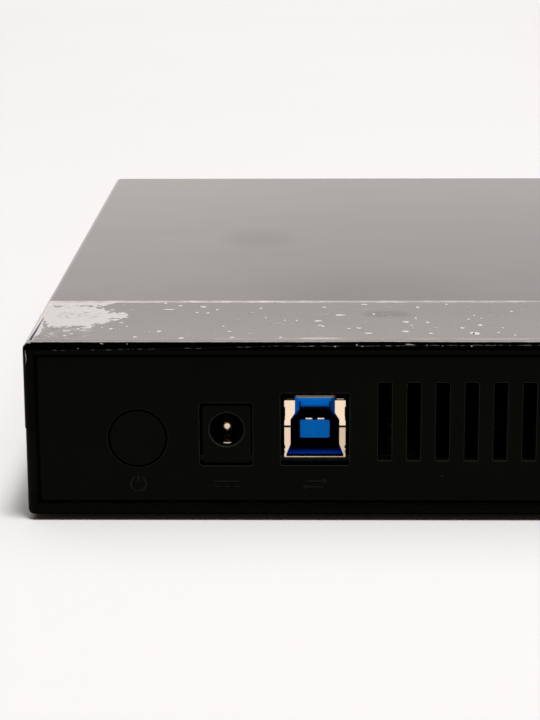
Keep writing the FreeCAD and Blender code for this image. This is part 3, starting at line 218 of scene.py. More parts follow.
# Lamps: name, place, the point that each faces, size, power and spread in degrees
LAMPS = (
    ("key", (0.25, -0.36, 2.4), (0.0, -0.1, 0.0), 0.5, 37.0, 180.0),
    ("overhead", (0.0, 0.3, 2.6), (0.0, 0.3, 0.0), 3.6, 36.0, 180.0),
    ("back", (0.0, 1.7, 1.6), (0.0, 1.6, 0.0), 1.2, 3.0, 90.0),
)

# Floor, in metres; between the two distances it turns into the backdrop for the camera
FLOOR_COLOUR = (0.95, 0.94, 0.94)
FLOOR_SIZE = 16.0
BACKDROP_COLOUR = (0.93, 0.925, 0.92)
BACKDROP_START = 1.0
BACKDROP_FULL = 1.7


class Graph:
    """A material's node tree, with short calls for the nodes that the materials share."""

    def __init__(self, name):
        self.material = bpy.data.materials.new(name)
        self.material.use_nodes = True
        self.tree = self.material.node_tree
        self.tree.nodes.clear()
        self.output = self.add("ShaderNodeOutputMaterial")
        self.place = self.add("ShaderNodeTexCoord").outputs["Object"]

    def add(self, kind, **settings):
        node = self.tree.nodes.new(kind)
        for key, value in settings.items():
            setattr(node, key, value)
        return node

    def link(self, source, target):
        self.tree.links.new(source, target)

    def shader(self, roughness, ior_level=0.5, metallic=0.0):
        node = self.add("ShaderNodeBsdfPrincipled")
        node.inputs["Roughness"].default_value = roughness
        node.inputs["Specular IOR Level"].default_value = ior_level
        node.inputs["Metallic"].default_value = metallic
        self.link(node.outputs["BSDF"], self.output.inputs["Surface"])
        return node

    def scaled(self, scale):
        node = self.add("ShaderNodeMapping")
        node.inputs["Scale"].default_value = scale
        self.link(self.place, node.inputs["Vector"])
        return node.outputs["Vector"]

    def noise(self, scale, detail=3.0, rough=0.55, vector=None, distortion=0.0):
        node = self.add("ShaderNodeTexNoise")
        node.inputs["Scale"].default_value = scale
        node.inputs["Detail"].default_value = detail
        node.inputs["Roughness"].default_value = rough
        node.inputs["Distortion"].default_value = distortion
        self.link(vector if vector else self.place, node.inputs["Vector"])
        return node.outputs["Fac"]

    def cells(self, scale, vector=None):
        node = self.add("ShaderNodeTexVoronoi", feature="F1")
        node.inputs["Scale"].default_value = scale
        self.link(vector if vector else self.place, node.inputs["Vector"])
        return node.outputs["Distance"]

    def ramp(self, value, low, high, out_low=0.0, out_high=1.0):
        node = self.add("ShaderNodeMapRange", interpolation_type="SMOOTHSTEP")
        node.inputs["From Min"].default_value = low
        node.inputs["From Max"].default_value = high
        node.inputs["To Min"].default_value = out_low
        node.inputs["To Max"].default_value = out_high
        self.link(value, node.inputs["Value"])
        return node.outputs["Result"]

    def band(self, value, start, full, fade, end):
        """Rises to 1 and falls again; the sizes are in millimetres."""
        rise = self.ramp(value, start * MM, full * MM)
        return self.product(rise, self.ramp(value, end * MM, fade * MM))

    def math(self, operation, *values):
        node = self.add("ShaderNodeMath", operation=operation)
        for number, value in enumerate(values):
            if isinstance(value, (int, float)):
                node.inputs[number].default_value = value
            else:
                self.link(value, node.inputs[number])
        return node.outputs["Value"]

    def product(self, result, *factors):
        for factor in factors:
            result = self.math("MULTIPLY", result, factor)
        return result

    def off(self, value, middle):
        """Distance to either side of a middle."""
        return self.math("ABSOLUTE", self.math("SUBTRACT", value, middle))

    def length(self, across, along):
        squares = self.math("POWER", across, 2.0), self.math("POWER", along, 2.0)
        return self.math("SQRT", self.math("ADD", *squares))

    def oval(self, x, y, centre_x, centre_y, radius_x, radius_y):
        """Distance from an oval's middle, 1 at its outline; the sizes are in millimetres."""
        near_x = self.math("DIVIDE", self.math("SUBTRACT", x, centre_x * MM), radius_x * MM)
        near_y = self.math("DIVIDE", self.math("SUBTRACT", y, centre_y * MM), radius_y * MM)
        return self.length(near_x, near_y)

    def nearest(self, x, y, ovals):
        """Distance from the nearest of several ovals."""
        result = self.oval(x, y, *ovals[0])
        for oval in ovals[1:]:
            result = self.math("MINIMUM", result, self.oval(x, y, *oval))
        return result

    def mix(self, factor, first, second):
        node = self.add("ShaderNodeMix", data_type="RGBA")
        self.link(factor, node.inputs["Factor"])
        sockets = [socket for socket in node.inputs if socket.type == "RGBA"]
        for socket, value in zip(sockets, (first, second)):
            if isinstance(value, tuple):
                socket.default_value = value + (1.0,)
            else:
                self.link(value, socket)
        return next(socket for socket in node.outputs if socket.type == "RGBA")

    def bump(self, height, strength, distance):
        node = self.add("ShaderNodeBump")
        node.inputs["Strength"].default_value = strength
        node.inputs["Distance"].default_value = distance
        self.link(height, node.inputs["Height"])
        return node.outputs["Normal"]

    def relief(self, shader, height, rough_low, rough_high, strength, distance):
        """Roughness and bumps that follow one noise."""
        rough = self.ramp(height, 0.3, 0.7, rough_low, rough_high)
        self.link(rough, shader.inputs["Roughness"])
        self.link(self.bump(height, strength, distance), shader.inputs["Normal"])

    def axes(self):
        node = self.add("ShaderNodeSeparateXYZ")
        self.link(self.place, node.inputs["Vector"])
        return node.outputs["X"], node.outputs["Y"], node.outputs["Z"]


def toned(colour, share):
    return tuple(min(1.0, value * share) for value in colour)


def moulded_plastic(
    name, dark, light, roughness, ior_level=0.3,
    grain=4200.0, depth=0.04 * MM, strength=0.5, shade=None,
):
    """Plastic from a spark-eroded mould: fine grain in its colour, roughness and surface."""
    g = Graph(name)
    shader = g.shader(roughness, ior_level)
    fine = g.noise(grain, detail=4.0, rough=0.65)
    broad = g.noise(60.0)
    blend = g.math("ADD", g.product(fine, 0.75), g.product(broad, 0.25))
    colour = g.mix(g.ramp(blend, 0.36, 0.64), dark, light)
    # Optional painted shade, mixed over the plastic's own colour
    if shade:
        colour = g.mix(shade(g), colour, RIM_SHADE)
    g.link(colour, shader.inputs["Base Color"])
    rough = g.ramp(broad, 0.3, 0.7, roughness - 0.06, roughness + 0.06)
    g.link(rough, shader.inputs["Roughness"])
    g.link(g.bump(fine, strength, depth), shader.inputs["Normal"])
    return g.material


def rim_shade(g):
    """Painted shade: a darker low rim of the base, and darker side rims of the cover."""
    x, _, z = g.axes()
    low_rim = g.ramp(z, 6.0 * MM, 4.8 * MM)
    at_side = g.ramp(g.math("ABSOLUTE", x), 57.2 * MM, 57.8 * MM)
    on_cover = g.ramp(z, 17.8 * MM, 18.4 * MM)
    return g.product(g.math("MAXIMUM", low_rim, g.product(at_side, on_cover)), 0.62)


def shell_plastic(name):
    return moulded_plastic(name, *BLACK, 0.45, 0.02, shade=rim_shade)


def polished_plastic(name, colour):
    """Polished black top: faint smears, fine hairline marks and a few specks of dust."""
    g = Graph(name)
    shader = g.shader(0.08, 0.44)
    x, y, _ = g.axes()
    stretched = g.scaled((1.0, 0.45, 1.0))
    smear = g.noise(28.0, detail=5.0, rough=0.6, vector=stretched, distortion=0.6)
    hair = g.noise(900.0, detail=2.0, vector=g.scaled((1.0, 0.04, 1.0)))
    hair = g.product(g.ramp(hair, 0.70, 0.76), 0.05)
    rough = g.math("ADD", g.ramp(smear, 0.35, 0.75, 0.05, 0.13), hair)
    g.link(rough, shader.inputs["Roughness"])
    # The top turns greyer toward the left, and less grey inside two ovals, one over its near half
    haze = g.ramp(x, 12.0 * MM, -45.0 * MM, 0.45, 1.0)
    less_grey = g.ramp(g.oval(x, y, *LESS_GREY_SPOT), 0.35, 1.1)
    less_grey_near = g.ramp(g.oval(x, y, *LESS_GREY_NEAR_SPOT), 0.3, 1.15)
    haze = g.product(haze, less_grey, less_grey_near, g.ramp(smear, 0.3, 0.7, 0.8, 1.2))
    dust = g.product(g.ramp(g.cells(260.0), 0.035, 0.02), g.ramp(g.noise(45.0), 0.56, 0.62))
    colour = g.mix(dust, g.mix(haze, colour, POLISH_GREY), POLISH_DUST)
    g.link(colour, shader.inputs["Base Color"])
    g.link(g.bump(g.noise(38.0, detail=1.0), 0.25, 0.4 * MM), shader.inputs["Normal"])
    return g.material


def metal(name, colour, roughness):
    """Metal with fine drawn lines in its roughness and surface."""
    g = Graph(name)
    shader = g.shader(roughness, 0.5, 1.0)
    lines = g.noise(1800.0, vector=g.scaled((1.0, 12.0, 1.0)))
    broad = g.ramp(g.noise(300.0), 0.3, 0.7)
    g.link(g.mix(broad, toned(colour, 0.78), colour), shader.inputs["Base Color"])
    g.relief(shader, lines, roughness - 0.07, roughness + 0.09, 0.25, 0.02 * MM)
    return g.material


def socket_sheet(name, colour, roughness):
    """The data socket's bent sheet, in painted shade on its lower half, under the cutout's edge,
    along its bends, in its notches and further in.
    """
    g = Graph(name)
    shader = g.shader(roughness, 0.5, 1.0)
    x, y, z = g.axes()
    lines = g.noise(1800.0, vector=g.scaled((1.0, 1.0, 12.0)))
    off_middle = g.off(x, sheet_middle.x)
    # Painted shade: the lower half darker, more so toward the right
    lower = g.ramp(z, sheet_middle.z + 0.1 * MM, sheet_middle.z - 0.1 * MM)
    right = g.ramp(x, sheet_middle.x - 1.0 * MM, sheet_middle.x + 1.0 * MM, 0.18, 0.42)
    plate = g.mix(g.product(lower, right), colour, SHEET_LOWER)
    plate = g.mix(g.ramp(g.noise(300.0), 0.3, 0.7, 0.0, 0.10), plate, SHEET_WORN)
    # Painted shade under the cutout's edge, darkest over the ears
    top = g.ramp(z, sheet_high.z - 1.22 * MM, sheet_high.z - 1.12 * MM)
    ears = g.ramp(off_middle, 3.4 * MM, 3.8 * MM)
    plate = g.mix(top, plate, g.mix(ears, SHEET_TOP, SHEET_DEEP))
    seam = g.ramp(g.off(z, sheet_middle.z), 0.24 * MM, 0.18 * MM)
    plate = g.mix(seam, plate, SHEET_SEAM)
    # Painted shade in the notches, along the bends and further in
    lower_notch = g.product(g.band(z, *LOWER_NOTCH), 0.8)
    notches = g.math("MAXIMUM", g.band(z, *UPPER_NOTCH), lower_notch)
    notches = g.product(notches, g.ramp(off_middle, 5.62 * MM, 5.68 * MM))
    bend = g.math("MAXIMUM", g.ramp(off_middle, 5.78 * MM, 5.86 * MM), notches)
    inner = g.ramp(y, sheet_low.y + 0.5 * MM, sheet_low.y + 0.8 * MM, 0.0, 0.97)
    plate = g.mix(g.math("MAXIMUM", bend, inner), plate, SHEET_DEEP)
    g.link(plate, shader.inputs["Base Color"])
    g.relief(shader, lines, roughness - 0.07, roughness + 0.09, 0.25, 0.02 * MM)
    return g.material


def contact_strip(name, colour, front):
    """Plated contacts in painted shade, nearly black, with a painted glint on their tips."""
    g = Graph(name)
    shader = g.shader(0.25, 0.5, 1.0)
    _, y, z = g.axes()
    wear = g.noise(2500.0)
    bright = g.mix(g.ramp(wear, 0.3, 0.7), toned(colour, 0.8), colour)
    # Painted glint on the tips; elsewhere painted shade
    tips = g.ramp(y, front + 0.5 * MM, front + 0.2 * MM)
    lit = g.product(tips, g.ramp(z, 20.1 * MM, 19.9 * MM))
    g.link(g.mix(lit, toned(colour, 0.006), bright), shader.inputs["Base Color"])
    g.relief(shader, wear, 0.2, 0.32, 0.25, 0.01 * MM)
    return g.material


def circuit_board(name):
    """Green board: solder mask over copper runs, with the glass weave showing faintly, all
    darkened as painted shade.
    """
    g = Graph(name)
    shader = g.shader(0.35, 0.5)
    runs = g.ramp(g.cells(420.0, vector=g.scaled((1.0, 1.0, 0.0))), 0.42, 0.46)
    weave = g.ramp(g.noise(1400.0, detail=2.0), 0.55, 0.8)
    green = g.mix(weave, g.mix(runs, BOARD_MASK, BOARD_COPPER), BOARD_WEAVE)
    g.link(green, shader.inputs["Base Color"])
    g.link(g.bump(runs, 0.4, 0.03 * MM), shader.inputs["Normal"])
    return g.material


def rubber(name, dark, light, grain=1500.0):
    return moulded_plastic(name, dark, light, 0.75, 0.25, grain, 0.08 * MM, 0.4)


def clear_resin(name, tint):
    g = Graph(name)
    shader = g.shader(0.12, 0.5)
    shader.inputs["Transmission Weight"].default_value = 0.85
    shader.inputs["IOR"].default_value = 1.5
    cloud = g.ramp(g.noise(700.0, detail=2.0), 0.35, 0.65)
    g.link(g.mix(cloud, tint, toned(tint, 1.15)), shader.inputs["Base Color"])
    return g.material


def film_haze(g, x, y, haze):
    """The clear part: hazy, lightened toward the socket end by painted sheen, with one spot of
    painted shade.
    """
    clear = g.mix(g.ramp(haze, 0.3, 0.7), *FILM_CLEAR)
    clear = g.mix(g.ramp(y, -66.0 * MM, -96.0 * MM), clear, FILM_NEAR_SHEEN)
    spot = g.ramp(g.oval(x, y, *FILM_SHADE_SPOT), 1.1, 0.6)
    fade = g.ramp(y, -79.5 * MM, -76.0 * MM, 0.15, 1.0)
    return g.mix(g.product(spot, fade), clear, FILM_SHADE)


def white_patch(g, x, y, ragged):
    """Where the film has turned white: ragged ovals, worn through in two places."""
    spread = g.product(g.math("SUBTRACT", ragged, 0.5), 1.7)
    patch = g.ramp(g.math("ADD", g.nearest(x, y, PATCH_OVALS), spread), 1.04, 0.96)
    worn = g.ramp(g.nearest(x, y, WORN_OVALS), 1.1, 0.7)
    worn = g.product(worn, g.ramp(g.noise(900.0), 0.48, 0.60), 0.5)
    return g.product(patch, g.math("SUBTRACT", 1.0, worn))


def mottled_spot(g, x, y, colour):
    """Pale and dark flecks near the corner."""
    mottled = g.product(g.ramp(g.oval(x, y, *MOTTLED_SPOT), 1.1, 0.6), 0.9)
    flecks = g.noise(620.0, detail=5.0, rough=0.7, vector=g.scaled((1.0, 0.6, 1.0)))
    colour = g.mix(g.product(mottled, g.ramp(flecks, 0.555, 0.59)), colour, FLECK_PALE)
    return g.mix(g.product(mottled, g.ramp(flecks, 0.44, 0.40)), colour, FLECK_DARK)


def back_border(g, x, y, uneven):
    """The raised border away from the socket end: its place, its colour, and the painted shadow
    just in front of it.
    """
    waves = g.noise(420.0, detail=4.0, vector=g.scaled((1.0, 0.3, 1.0)))
    level = g.math("ADD", y, g.product(waves, 1.5 * MM))
    border = g.ramp(level, tape_high.y - 1.15 * MM, tape_high.y - 0.90 * MM)
    # Painted shadow just in front of the border
    shade = g.ramp(level, tape_high.y - 2.1 * MM, tape_high.y - 1.7 * MM)
    shade = g.product(shade, 0.5, g.ramp(uneven, 0.4, 0.6))
    tone = g.ramp(uneven, 0.35, 0.65)
    strong, weak = g.mix(tone, *BORDER_STRONG), g.mix(tone, *BORDER_WEAK)
    return border, g.mix(g.ramp(x, -14.0 * MM, 2.0 * MM), strong, weak), shade


def front_edge(g, x, y, uneven, colour):
    """The edge at the socket end: a pale line, a dark line and a pale rim, all rippled."""
    across = g.scaled((1.0, 0.0, 0.0))
    ripple = g.product(g.noise(60.0, detail=2.0, vector=across), 0.8 * MM)
    level = g.math("ADD", y, ripple)
    broken = g.ramp(g.noise(55.0, detail=2.0, vector=across), 0.42, 0.58)
    leftward = g.ramp(x, -42.0 * MM, -8.0 * MM, 0.15, 1.0)
    pale = g.product(g.band(level, *PALE_LINE), broken, leftward, 0.8)
    colour = g.mix(pale, colour, LINE_PALE)
    colour = g.mix(g.product(g.band(level, *DARK_LINE), 0.8), colour, LINE_DARK)
    rim = g.mix(g.ramp(uneven, 0.35, 0.65), *FRONT_RIM)
    return g.mix(g.ramp(level, -97.45 * MM, -97.8 * MM), colour, rim)


def film(name):
    """Clear film gone hazy, turned white at one corner, with pale raised borders."""
    g = Graph(name)
    shader = g.shader(0.16, 0.5)
    x, y, _ = g.axes()
    haze = g.noise(55.0, detail=4.0)
    fine = g.noise(1500.0, detail=4.0, rough=0.7)
    ragged = g.noise(330.0, detail=6.0, rough=0.72, vector=g.scaled((1.0, 0.55, 1.0)))
    uneven = g.noise(160.0, vector=g.scaled((1.0, 0.0, 0.0)))
    border, border_colour, border_shade = back_border(g, x, y, uneven)
    # Painted shadow in front of the back border
    colour = g.mix(border_shade, film_haze(g, x, y, haze), FILM_SHADE)
    white = g.mix(g.ramp(fine, 0.35, 0.65), *FILM_WHITE)
    colour = g.mix(white_patch(g, x, y, ragged), colour, white)
    colour = mottled_spot(g, x, y, colour)
    streak = g.math("ADD", g.oval(x, y, *STREAK), g.product(ragged, 0.3))
    colour = g.mix(g.ramp(streak, 1.15, 0.75), colour, STREAK_COLOUR)
    colour = g.mix(border, colour, border_colour)
    colour = front_edge(g, x, y, uneven, colour)
    g.link(colour, shader.inputs["Base Color"])
    g.link(g.ramp(haze, 0.3, 0.7, 0.12, 0.22), shader.inputs["Roughness"])
    g.link(g.bump(fine, 0.3, 0.03 * MM), shader.inputs["Normal"])
    return g.material


def lit_hump(g, y, z, off_middle, bar_lit):
    """Painted light on the bar over the tongue and on the walls beside it, as if lit from above.
    """
    on_bar = g.ramp(off_middle, 2.75 * MM, 2.65 * MM)
    above = g.ramp(z, HUMP_LOW - 0.1 * MM, HUMP_LOW + 0.1 * MM)
    beside = g.math("MAXIMUM", g.math("SUBTRACT", above, on_bar), 0.0)
    hump = g.math("ADD", g.product(bar_lit, on_bar), beside)
    across = g.ramp(off_middle, 4.0 * MM, 3.9 * MM)
    return g.product(hump, across, g.ramp(y, socket_low.y + 3.2 * MM, socket_low.y + 2.9 * MM))


def lit_tongue(g, y, z, off_middle):
    """Painted light on the tongue's end."""
    across = g.ramp(off_middle, 2.85 * MM, 2.80 * MM)
    outer = g.ramp(y, TONGUE_END + 0.9 * MM, TONGUE_END + 0.3 * MM)
    above = g.ramp(z, TONGUE_LOW, TONGUE_LOW + 0.1 * MM)
    below = g.ramp(z, TONGUE_HIGH + 0.1 * MM, TONGUE_HIGH)
    return g.product(across, outer, above, below)


def shaded_mouth(g, z, off_middle, bar_lit):
    """Where the mouth keeps its painted shade: beside the hump, at the seam and under the bar."""
    ears = g.product(
        g.ramp(off_middle, 3.85 * MM, 3.9 * MM), g.ramp(z, HUMP_LOW, HUMP_LOW + 0.1 * MM)
    )
    seam = g.product(
        g.ramp(g.off(z, sheet_middle.z), 0.3 * MM, 0.25 * MM),
        g.ramp(off_middle, 4.4 * MM, 4.5 * MM),
    )
    under_bar = g.product(
        g.math("SUBTRACT", 1.0, bar_lit),
        g.ramp(z, TONGUE_HIGH, TONGUE_HIGH + 0.1 * MM),
        g.ramp(off_middle, 3.3 * MM, 3.2 * MM),
    )
    return g.math("MAXIMUM", g.math("MAXIMUM", ears, seam), under_bar)


def socket_plastic(name):
    """Blue insulator: painted light at the mouth and on the tongue's end, painted shade further
    in.
    """
    g = Graph(name)
    shader = g.shader(0.35, 0.02)
    x, y, z = g.axes()
    grain = g.noise(2600.0, detail=2.0)
    off_middle = g.off(x, SOCKET_X)
    bar_lit = g.ramp(z, HUMP_LOW + 0.45 * MM, HUMP_LOW + 1.35 * MM)
    outward = g.ramp(y, socket_low.y + 2.1 * MM, socket_low.y + 0.4 * MM)
    rim = g.ramp(z, socket_low.z + 0.42 * MM, socket_low.z + 0.46 * MM)
    shaded = shaded_mouth(g, z, off_middle, bar_lit)
    # Painted light at the mouth, except where it keeps the painted shade
    mouth = g.product(outward, rim, g.math("SUBTRACT", 1.0, shaded))
    hump = lit_hump(g, y, z, off_middle, bar_lit)
    tone = g.ramp(grain, 0.35, 0.65)
    deep = g.mix(tone, *BLUE_SHADED)
    colour = g.mix(mouth, deep, g.mix(tone, *BLUE_MOUTH_LIT))
    lit = g.math("MAXIMUM", lit_tongue(g, y, z, off_middle), hump)
    colour = g.mix(lit, colour, g.mix(tone, *BLUE_LIT))
    # Painted shade on the right wall above the tongue
    at_right = g.ramp(x, SOCKET_X + 2.95 * MM, SOCKET_X + 3.05 * MM)
    right_wall = g.product(at_right, g.ramp(z, 19.6 * MM, 19.8 * MM), 0.6)
    g.link(g.mix(right_wall, colour, deep), shader.inputs["Base Color"])
    g.relief(shader, grain, 0.30, 0.42, 0.3, 0.01 * MM)
    return g.material


# How each material slot of the record looks
RECIPES = {
    "shell_matte": (shell_plastic,),
    "cover_gloss": (polished_plastic, (0.004, 0.004, 0.004)),
    "panel_texture": (moulded_plastic, *BLACK, 0.5, 0.02),
    "rubber": (rubber, (0.012, 0.012, 0.012), (0.03, 0.03, 0.03)),
    "screw_steel": (metal, (0.20, 0.20, 0.21), 0.35),
    "board_green": (circuit_board,),
    "socket_metal": (metal, (0.92, 0.74, 0.56), 0.28),
    "socket_blue": (socket_plastic,),
    "gold_contact": (metal, (0.90, 0.72, 0.36), 0.25),
    "black_plastic": (moulded_plastic, *BLACK, 0.4, 0.02),
    "button_plastic": (moulded_plastic, *BLACK, 0.45, 0.02),
    "white_plastic": (moulded_plastic, (0.62, 0.61, 0.56), (0.74, 0.73, 0.69), 0.45, 0.4),
    "chip_epoxy": (moulded_plastic, (0.012, 0.012, 0.013), (0.028, 0.028, 0.03), 0.6),
    "tinned_metal": (metal, (0.72, 0.72, 0.72), 0.32),
    "can_metal": (metal, (0.75, 0.76, 0.77), 0.25),
    "ferrite": (
        moulded_plastic, (0.045, 0.045, 0.05), (0.08, 0.08, 0.085), 0.6, 0.3, 2200.0,
    ),
    "ceramic_tan": (
        moulded_plastic, (0.38, 0.27, 0.17), (0.50, 0.38, 0.26), 0.45, 0.4, 2200.0,
    ),
    "wire_red": (rubber, (0.38, 0.008, 0.008), (0.50, 0.014, 0.012)),
    "wire_black": (rubber, (0.010, 0.010, 0.010), (0.022, 0.022, 0.022)),
    "lamp_clear": (clear_resin, (0.78, 0.84, 0.92)),
    "foam": (rubber, (0.03, 0.03, 0.033), (0.075, 0.075, 0.08), 900.0),
    "tape_film": (film,),
}
materials = {slot: recipe(slot, *values) for slot, (recipe, *values) in RECIPES.items()}

# Black without reflection, laid on faces as painted shade
shade_black = moulded_plastic(
    "shade_black", (0.0002, 0.0003, 0.0002), (0.0006, 0.0008, 0.0005), 0.5, 0.0
)
# Lighter black on bevelled faces: painted highlight along the edges
edge_highlight = moulded_plastic(
    "edge_highlight", (0.012, 0.012, 0.010), (0.022, 0.021, 0.018), 0.35, 0.1
)
mark_black = moulded_plastic(
    "mark_black", (0.015, 0.015, 0.013), (0.027, 0.027, 0.023), 0.5, 0.02
)

own_material = {
    "usb_socket_shell": socket_sheet("socket_sheet", (1.0, 0.83, 0.63), 0.28),
    "usb_socket_contacts": contact_strip("socket_contact", (1.0, 0.88, 0.72), contact_low.y),
}
for part in frame["record"]["subparts"]:
    mesh = frame["nodes"][part["node"]].data
    mesh.materials.clear()
    mesh.materials.append(own_material.get(part["node"], materials[part["material_slot"]]))


def dress_faces(node, material, chosen):
    """Gives the node's faces that the test picks a material of their own."""
    mesh = frame["nodes"][node].data
    mesh.materials.append(material)
    number = len(mesh.materials) - 1
    for face in mesh.polygons:
        if chosen(face.normal, face.center):
            face.material_index = number


def cover_side(normal, centre):
    return abs(normal.z) < 0.5


def cover_end_rounding(normal, centre):
    return abs(normal.y) > max(0.15, 0.8 * abs(normal.x)) and 0.1 < normal.z < 0.98


def base_end_rounding(normal, centre):
    return abs(normal.y) > 0.1 and normal.z < -0.08 and centre.z < 3.0 * MM


def low_step(normal, centre):
    """The step between the base's rim and the panel's gap."""
    in_step = REAR + 0.3 * MM < centre.y < REAR + 1.0 * MM
    return normal.y < -0.9 and in_step and centre.z < panel_low.z


def socket_cut_wall(normal, centre):
    beside_sockets = centre.x < 2.0 * MM and 9.0 * MM < centre.z < 27.0 * MM
    return abs(normal.y) < 0.2 and beside_sockets


def bevelled(normal, centre):
    return 0.2 < abs(normal.y) < 0.97


def engraved(normal, centre):
    at_depth = panel_low.y + 0.1 * MM < centre.y < panel_low.y + 0.2 * MM
    return normal.y < -0.97 and at_depth


dress_faces("top_cover", materials["shell_matte"], cover_side)
# Painted shade: the ends' roundings, the step at the base's rim and the walls of the socket cuts
dress_faces("top_cover", shade_black, cover_end_rounding)
dress_faces("bottom_shell", shade_black, base_end_rounding)
dress_faces("bottom_shell", shade_black, low_step)
dress_faces("rear_panel", shade_black, socket_cut_wall)
# Painted highlight on the bevels of the panel and the power socket
dress_faces("rear_panel", edge_highlight, bevelled)
dress_faces("rear_panel", mark_black, engraved)
dress_faces("dc_jack_body", edge_highlight, bevelled)


def add_object(name, data):
    thing = bpy.data.objects.new(name, data)
    bpy.context.scene.collection.objects.link(thing)
    return thing


def make_piece(name, corners, faces, material, body):
    mesh = bpy.data.meshes.new(name)
    mesh.from_pydata(corners, [], faces)
    mesh.materials.append(material)
    piece = add_object(name, mesh)
    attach(piece, body)


def make_chips(name, chips, material):
    """Thin ragged chips that lie on the film or on the cover's edge."""
    corners = []
    faces = []
    for centre, across, along, width, length in chips:
        first = len(corners)
        turn = random.uniform(0.0, math.tau)
        for number in range(CHIP_CORNERS):
            angle = turn + math.tau * (number + random.uniform(-0.3, 0.3)) / CHIP_CORNERS
            reach = random.uniform(0.38, 0.62)
            side = across * (math.cos(angle) * reach * width)
            corners.append(centre + side + along * (math.sin(angle) * reach * length))
        faces.append(tuple(range(first, first + CHIP_CORNERS)))
    make_piece(name, corners, faces, material, "cover")


def on_film(chips, lift):
    across, along = Vector((1, 0, 0)), Vector((0, 1, 0))
    for x, y, width, length in chips:
        place = Vector((x * MM, y * MM, FILM_TOP + lift * MM))
        yield place, across, along, width * MM, length * MM


def on_rounding(x, angle, lift):
    """Place over the rounding of the cover's socket end, by degrees down from the top."""
    reach = EDGE_RADIUS + lift
    turn = math.radians(angle)
    y = REAR + EDGE_RADIUS - reach * math.sin(turn)
    return Vector((x * MM, y, COVER_TOP - EDGE_RADIUS + reach * math.cos(turn)))


def edge_sheen_and_scuffs(places):
    for x, angle, width, length in places:
        turn = math.radians(angle)
        upward = Vector((0, math.cos(turn), math.sin(turn)))
        place = on_rounding(x, angle, SHEEN_AND_SCUFF_LIFT)
        yield place, Vector((1, 0, 0)), upward, width * MM, length * MM


def corner_scuffs():
    """Rubbed line down the cover's corner."""
    reach = CORNER_RADIUS + 0.03 * MM
    for rise, angle, width, length in CORNER_SCUFFS:
        turn = math.radians(angle)
        x = cover_low.x + CORNER_RADIUS - reach * math.sin(turn)
        y = REAR + CORNER_RADIUS - reach * math.cos(turn)
        across = Vector((math.cos(turn), -math.sin(turn), 0))
        yield Vector((x, y, rise * MM)), across, Vector((0, 0, 1)), width * MM, length * MM


film_white = moulded_plastic(
    "film_white", (0.60, 0.58, 0.565), (0.74, 0.72, 0.70), 0.45, 0.5, 2000.0, 0.02 * MM
)
film_faint = moulded_plastic(
    "film_faint", (0.27, 0.255, 0.245), (0.40, 0.38, 0.37), 0.4, 0.5, 2000.0, 0.02 * MM
)
sheen_faint = moulded_plastic(
    "sheen_faint", (0.003, 0.003, 0.003), (0.011, 0.011, 0.010), 0.5, 0.02, 300.0
)
sheen_grey = moulded_plastic(
    "sheen_grey", (0.012, 0.012, 0.011), (0.07, 0.068, 0.064), 0.5, 0.2, 900.0
)
scuff_beige = moulded_plastic(
    "scuff_beige", (0.22, 0.18, 0.15), (0.46, 0.42, 0.38), 0.5, 0.3, 900.0
)
side_blue = moulded_plastic(
    "side_blue", (0.002, 0.005, 0.022), (0.004, 0.010, 0.045), 0.3, 0.05, 500.0
)

make_chips("film_chips", on_film(CHIPS, CHIP_LIFT), film_white)
make_chips("film_faint_chips", on_film(FAINT_CHIPS, FAINT_LIFT), film_faint)
specks = [
    (
        random.uniform(-50.0, 58.0), random.uniform(-97.0, -65.0),
        random.uniform(0.15, 0.3), random.uniform(0.2, 0.6),
    )
    for _ in range(SPECK_COUNT)
]
make_chips("film_specks", on_film(specks, SPECK_LIFT), film_faint)


def sheen_angle(x):
    """Where the line of painted sheen runs round the cover's end, in degrees down from the top."""
    for (x0, angle0), (x1, angle1) in zip(SHEEN_PATH, SHEEN_PATH[1:]):
        if x <= x1:
            return angle0 + (angle1 - angle0) * (x - x0) / (x1 - x0)
    return SHEEN_PATH[-1][1]


# Grey bits of painted sheen along that line, most of them on the right
sheen_bits = []
for number in range(RIGHT_SHEEN_COUNT + LEFT_SHEEN_COUNT):
    span = (-14.0, 58.0) if number < RIGHT_SHEEN_COUNT else (-56.0, -14.0)
    x = random.uniform(*span)
    angle = sheen_angle(x) + random.gauss(0.0, 1.2)
    sheen_bits.append((x, angle, random.uniform(0.2, 1.3), random.uniform(0.08, 0.22)))
make_chips("edge_sheen_and_scuffs", edge_sheen_and_scuffs(sheen_bits), sheen_grey)
make_chips("edge_chips", edge_sheen_and_scuffs(BRIGHT_SCUFFS), scuff_beige)
make_chips("corner_scuff", corner_scuffs(), scuff_beige)


def socket_strip(left, right, low, high, depth):
    """Upright strip of the data socket's sheet.

    The sizes are in millimetres: left and right from the sheet's middle, low and high
    down from its top, and the depth from its front.
    """
    x0, x1 = sheet_middle.x + left * MM, sheet_middle.x + right * MM
    z0, z1 = sheet_high.z - low * MM, sheet_high.z - high * MM
    y = sheet_low.y + depth * MM
    return [(x0, y, z0), (x1, y, z0), (x1, y, z1), (x0, y, z1)], [(0, 1, 2, 3)]


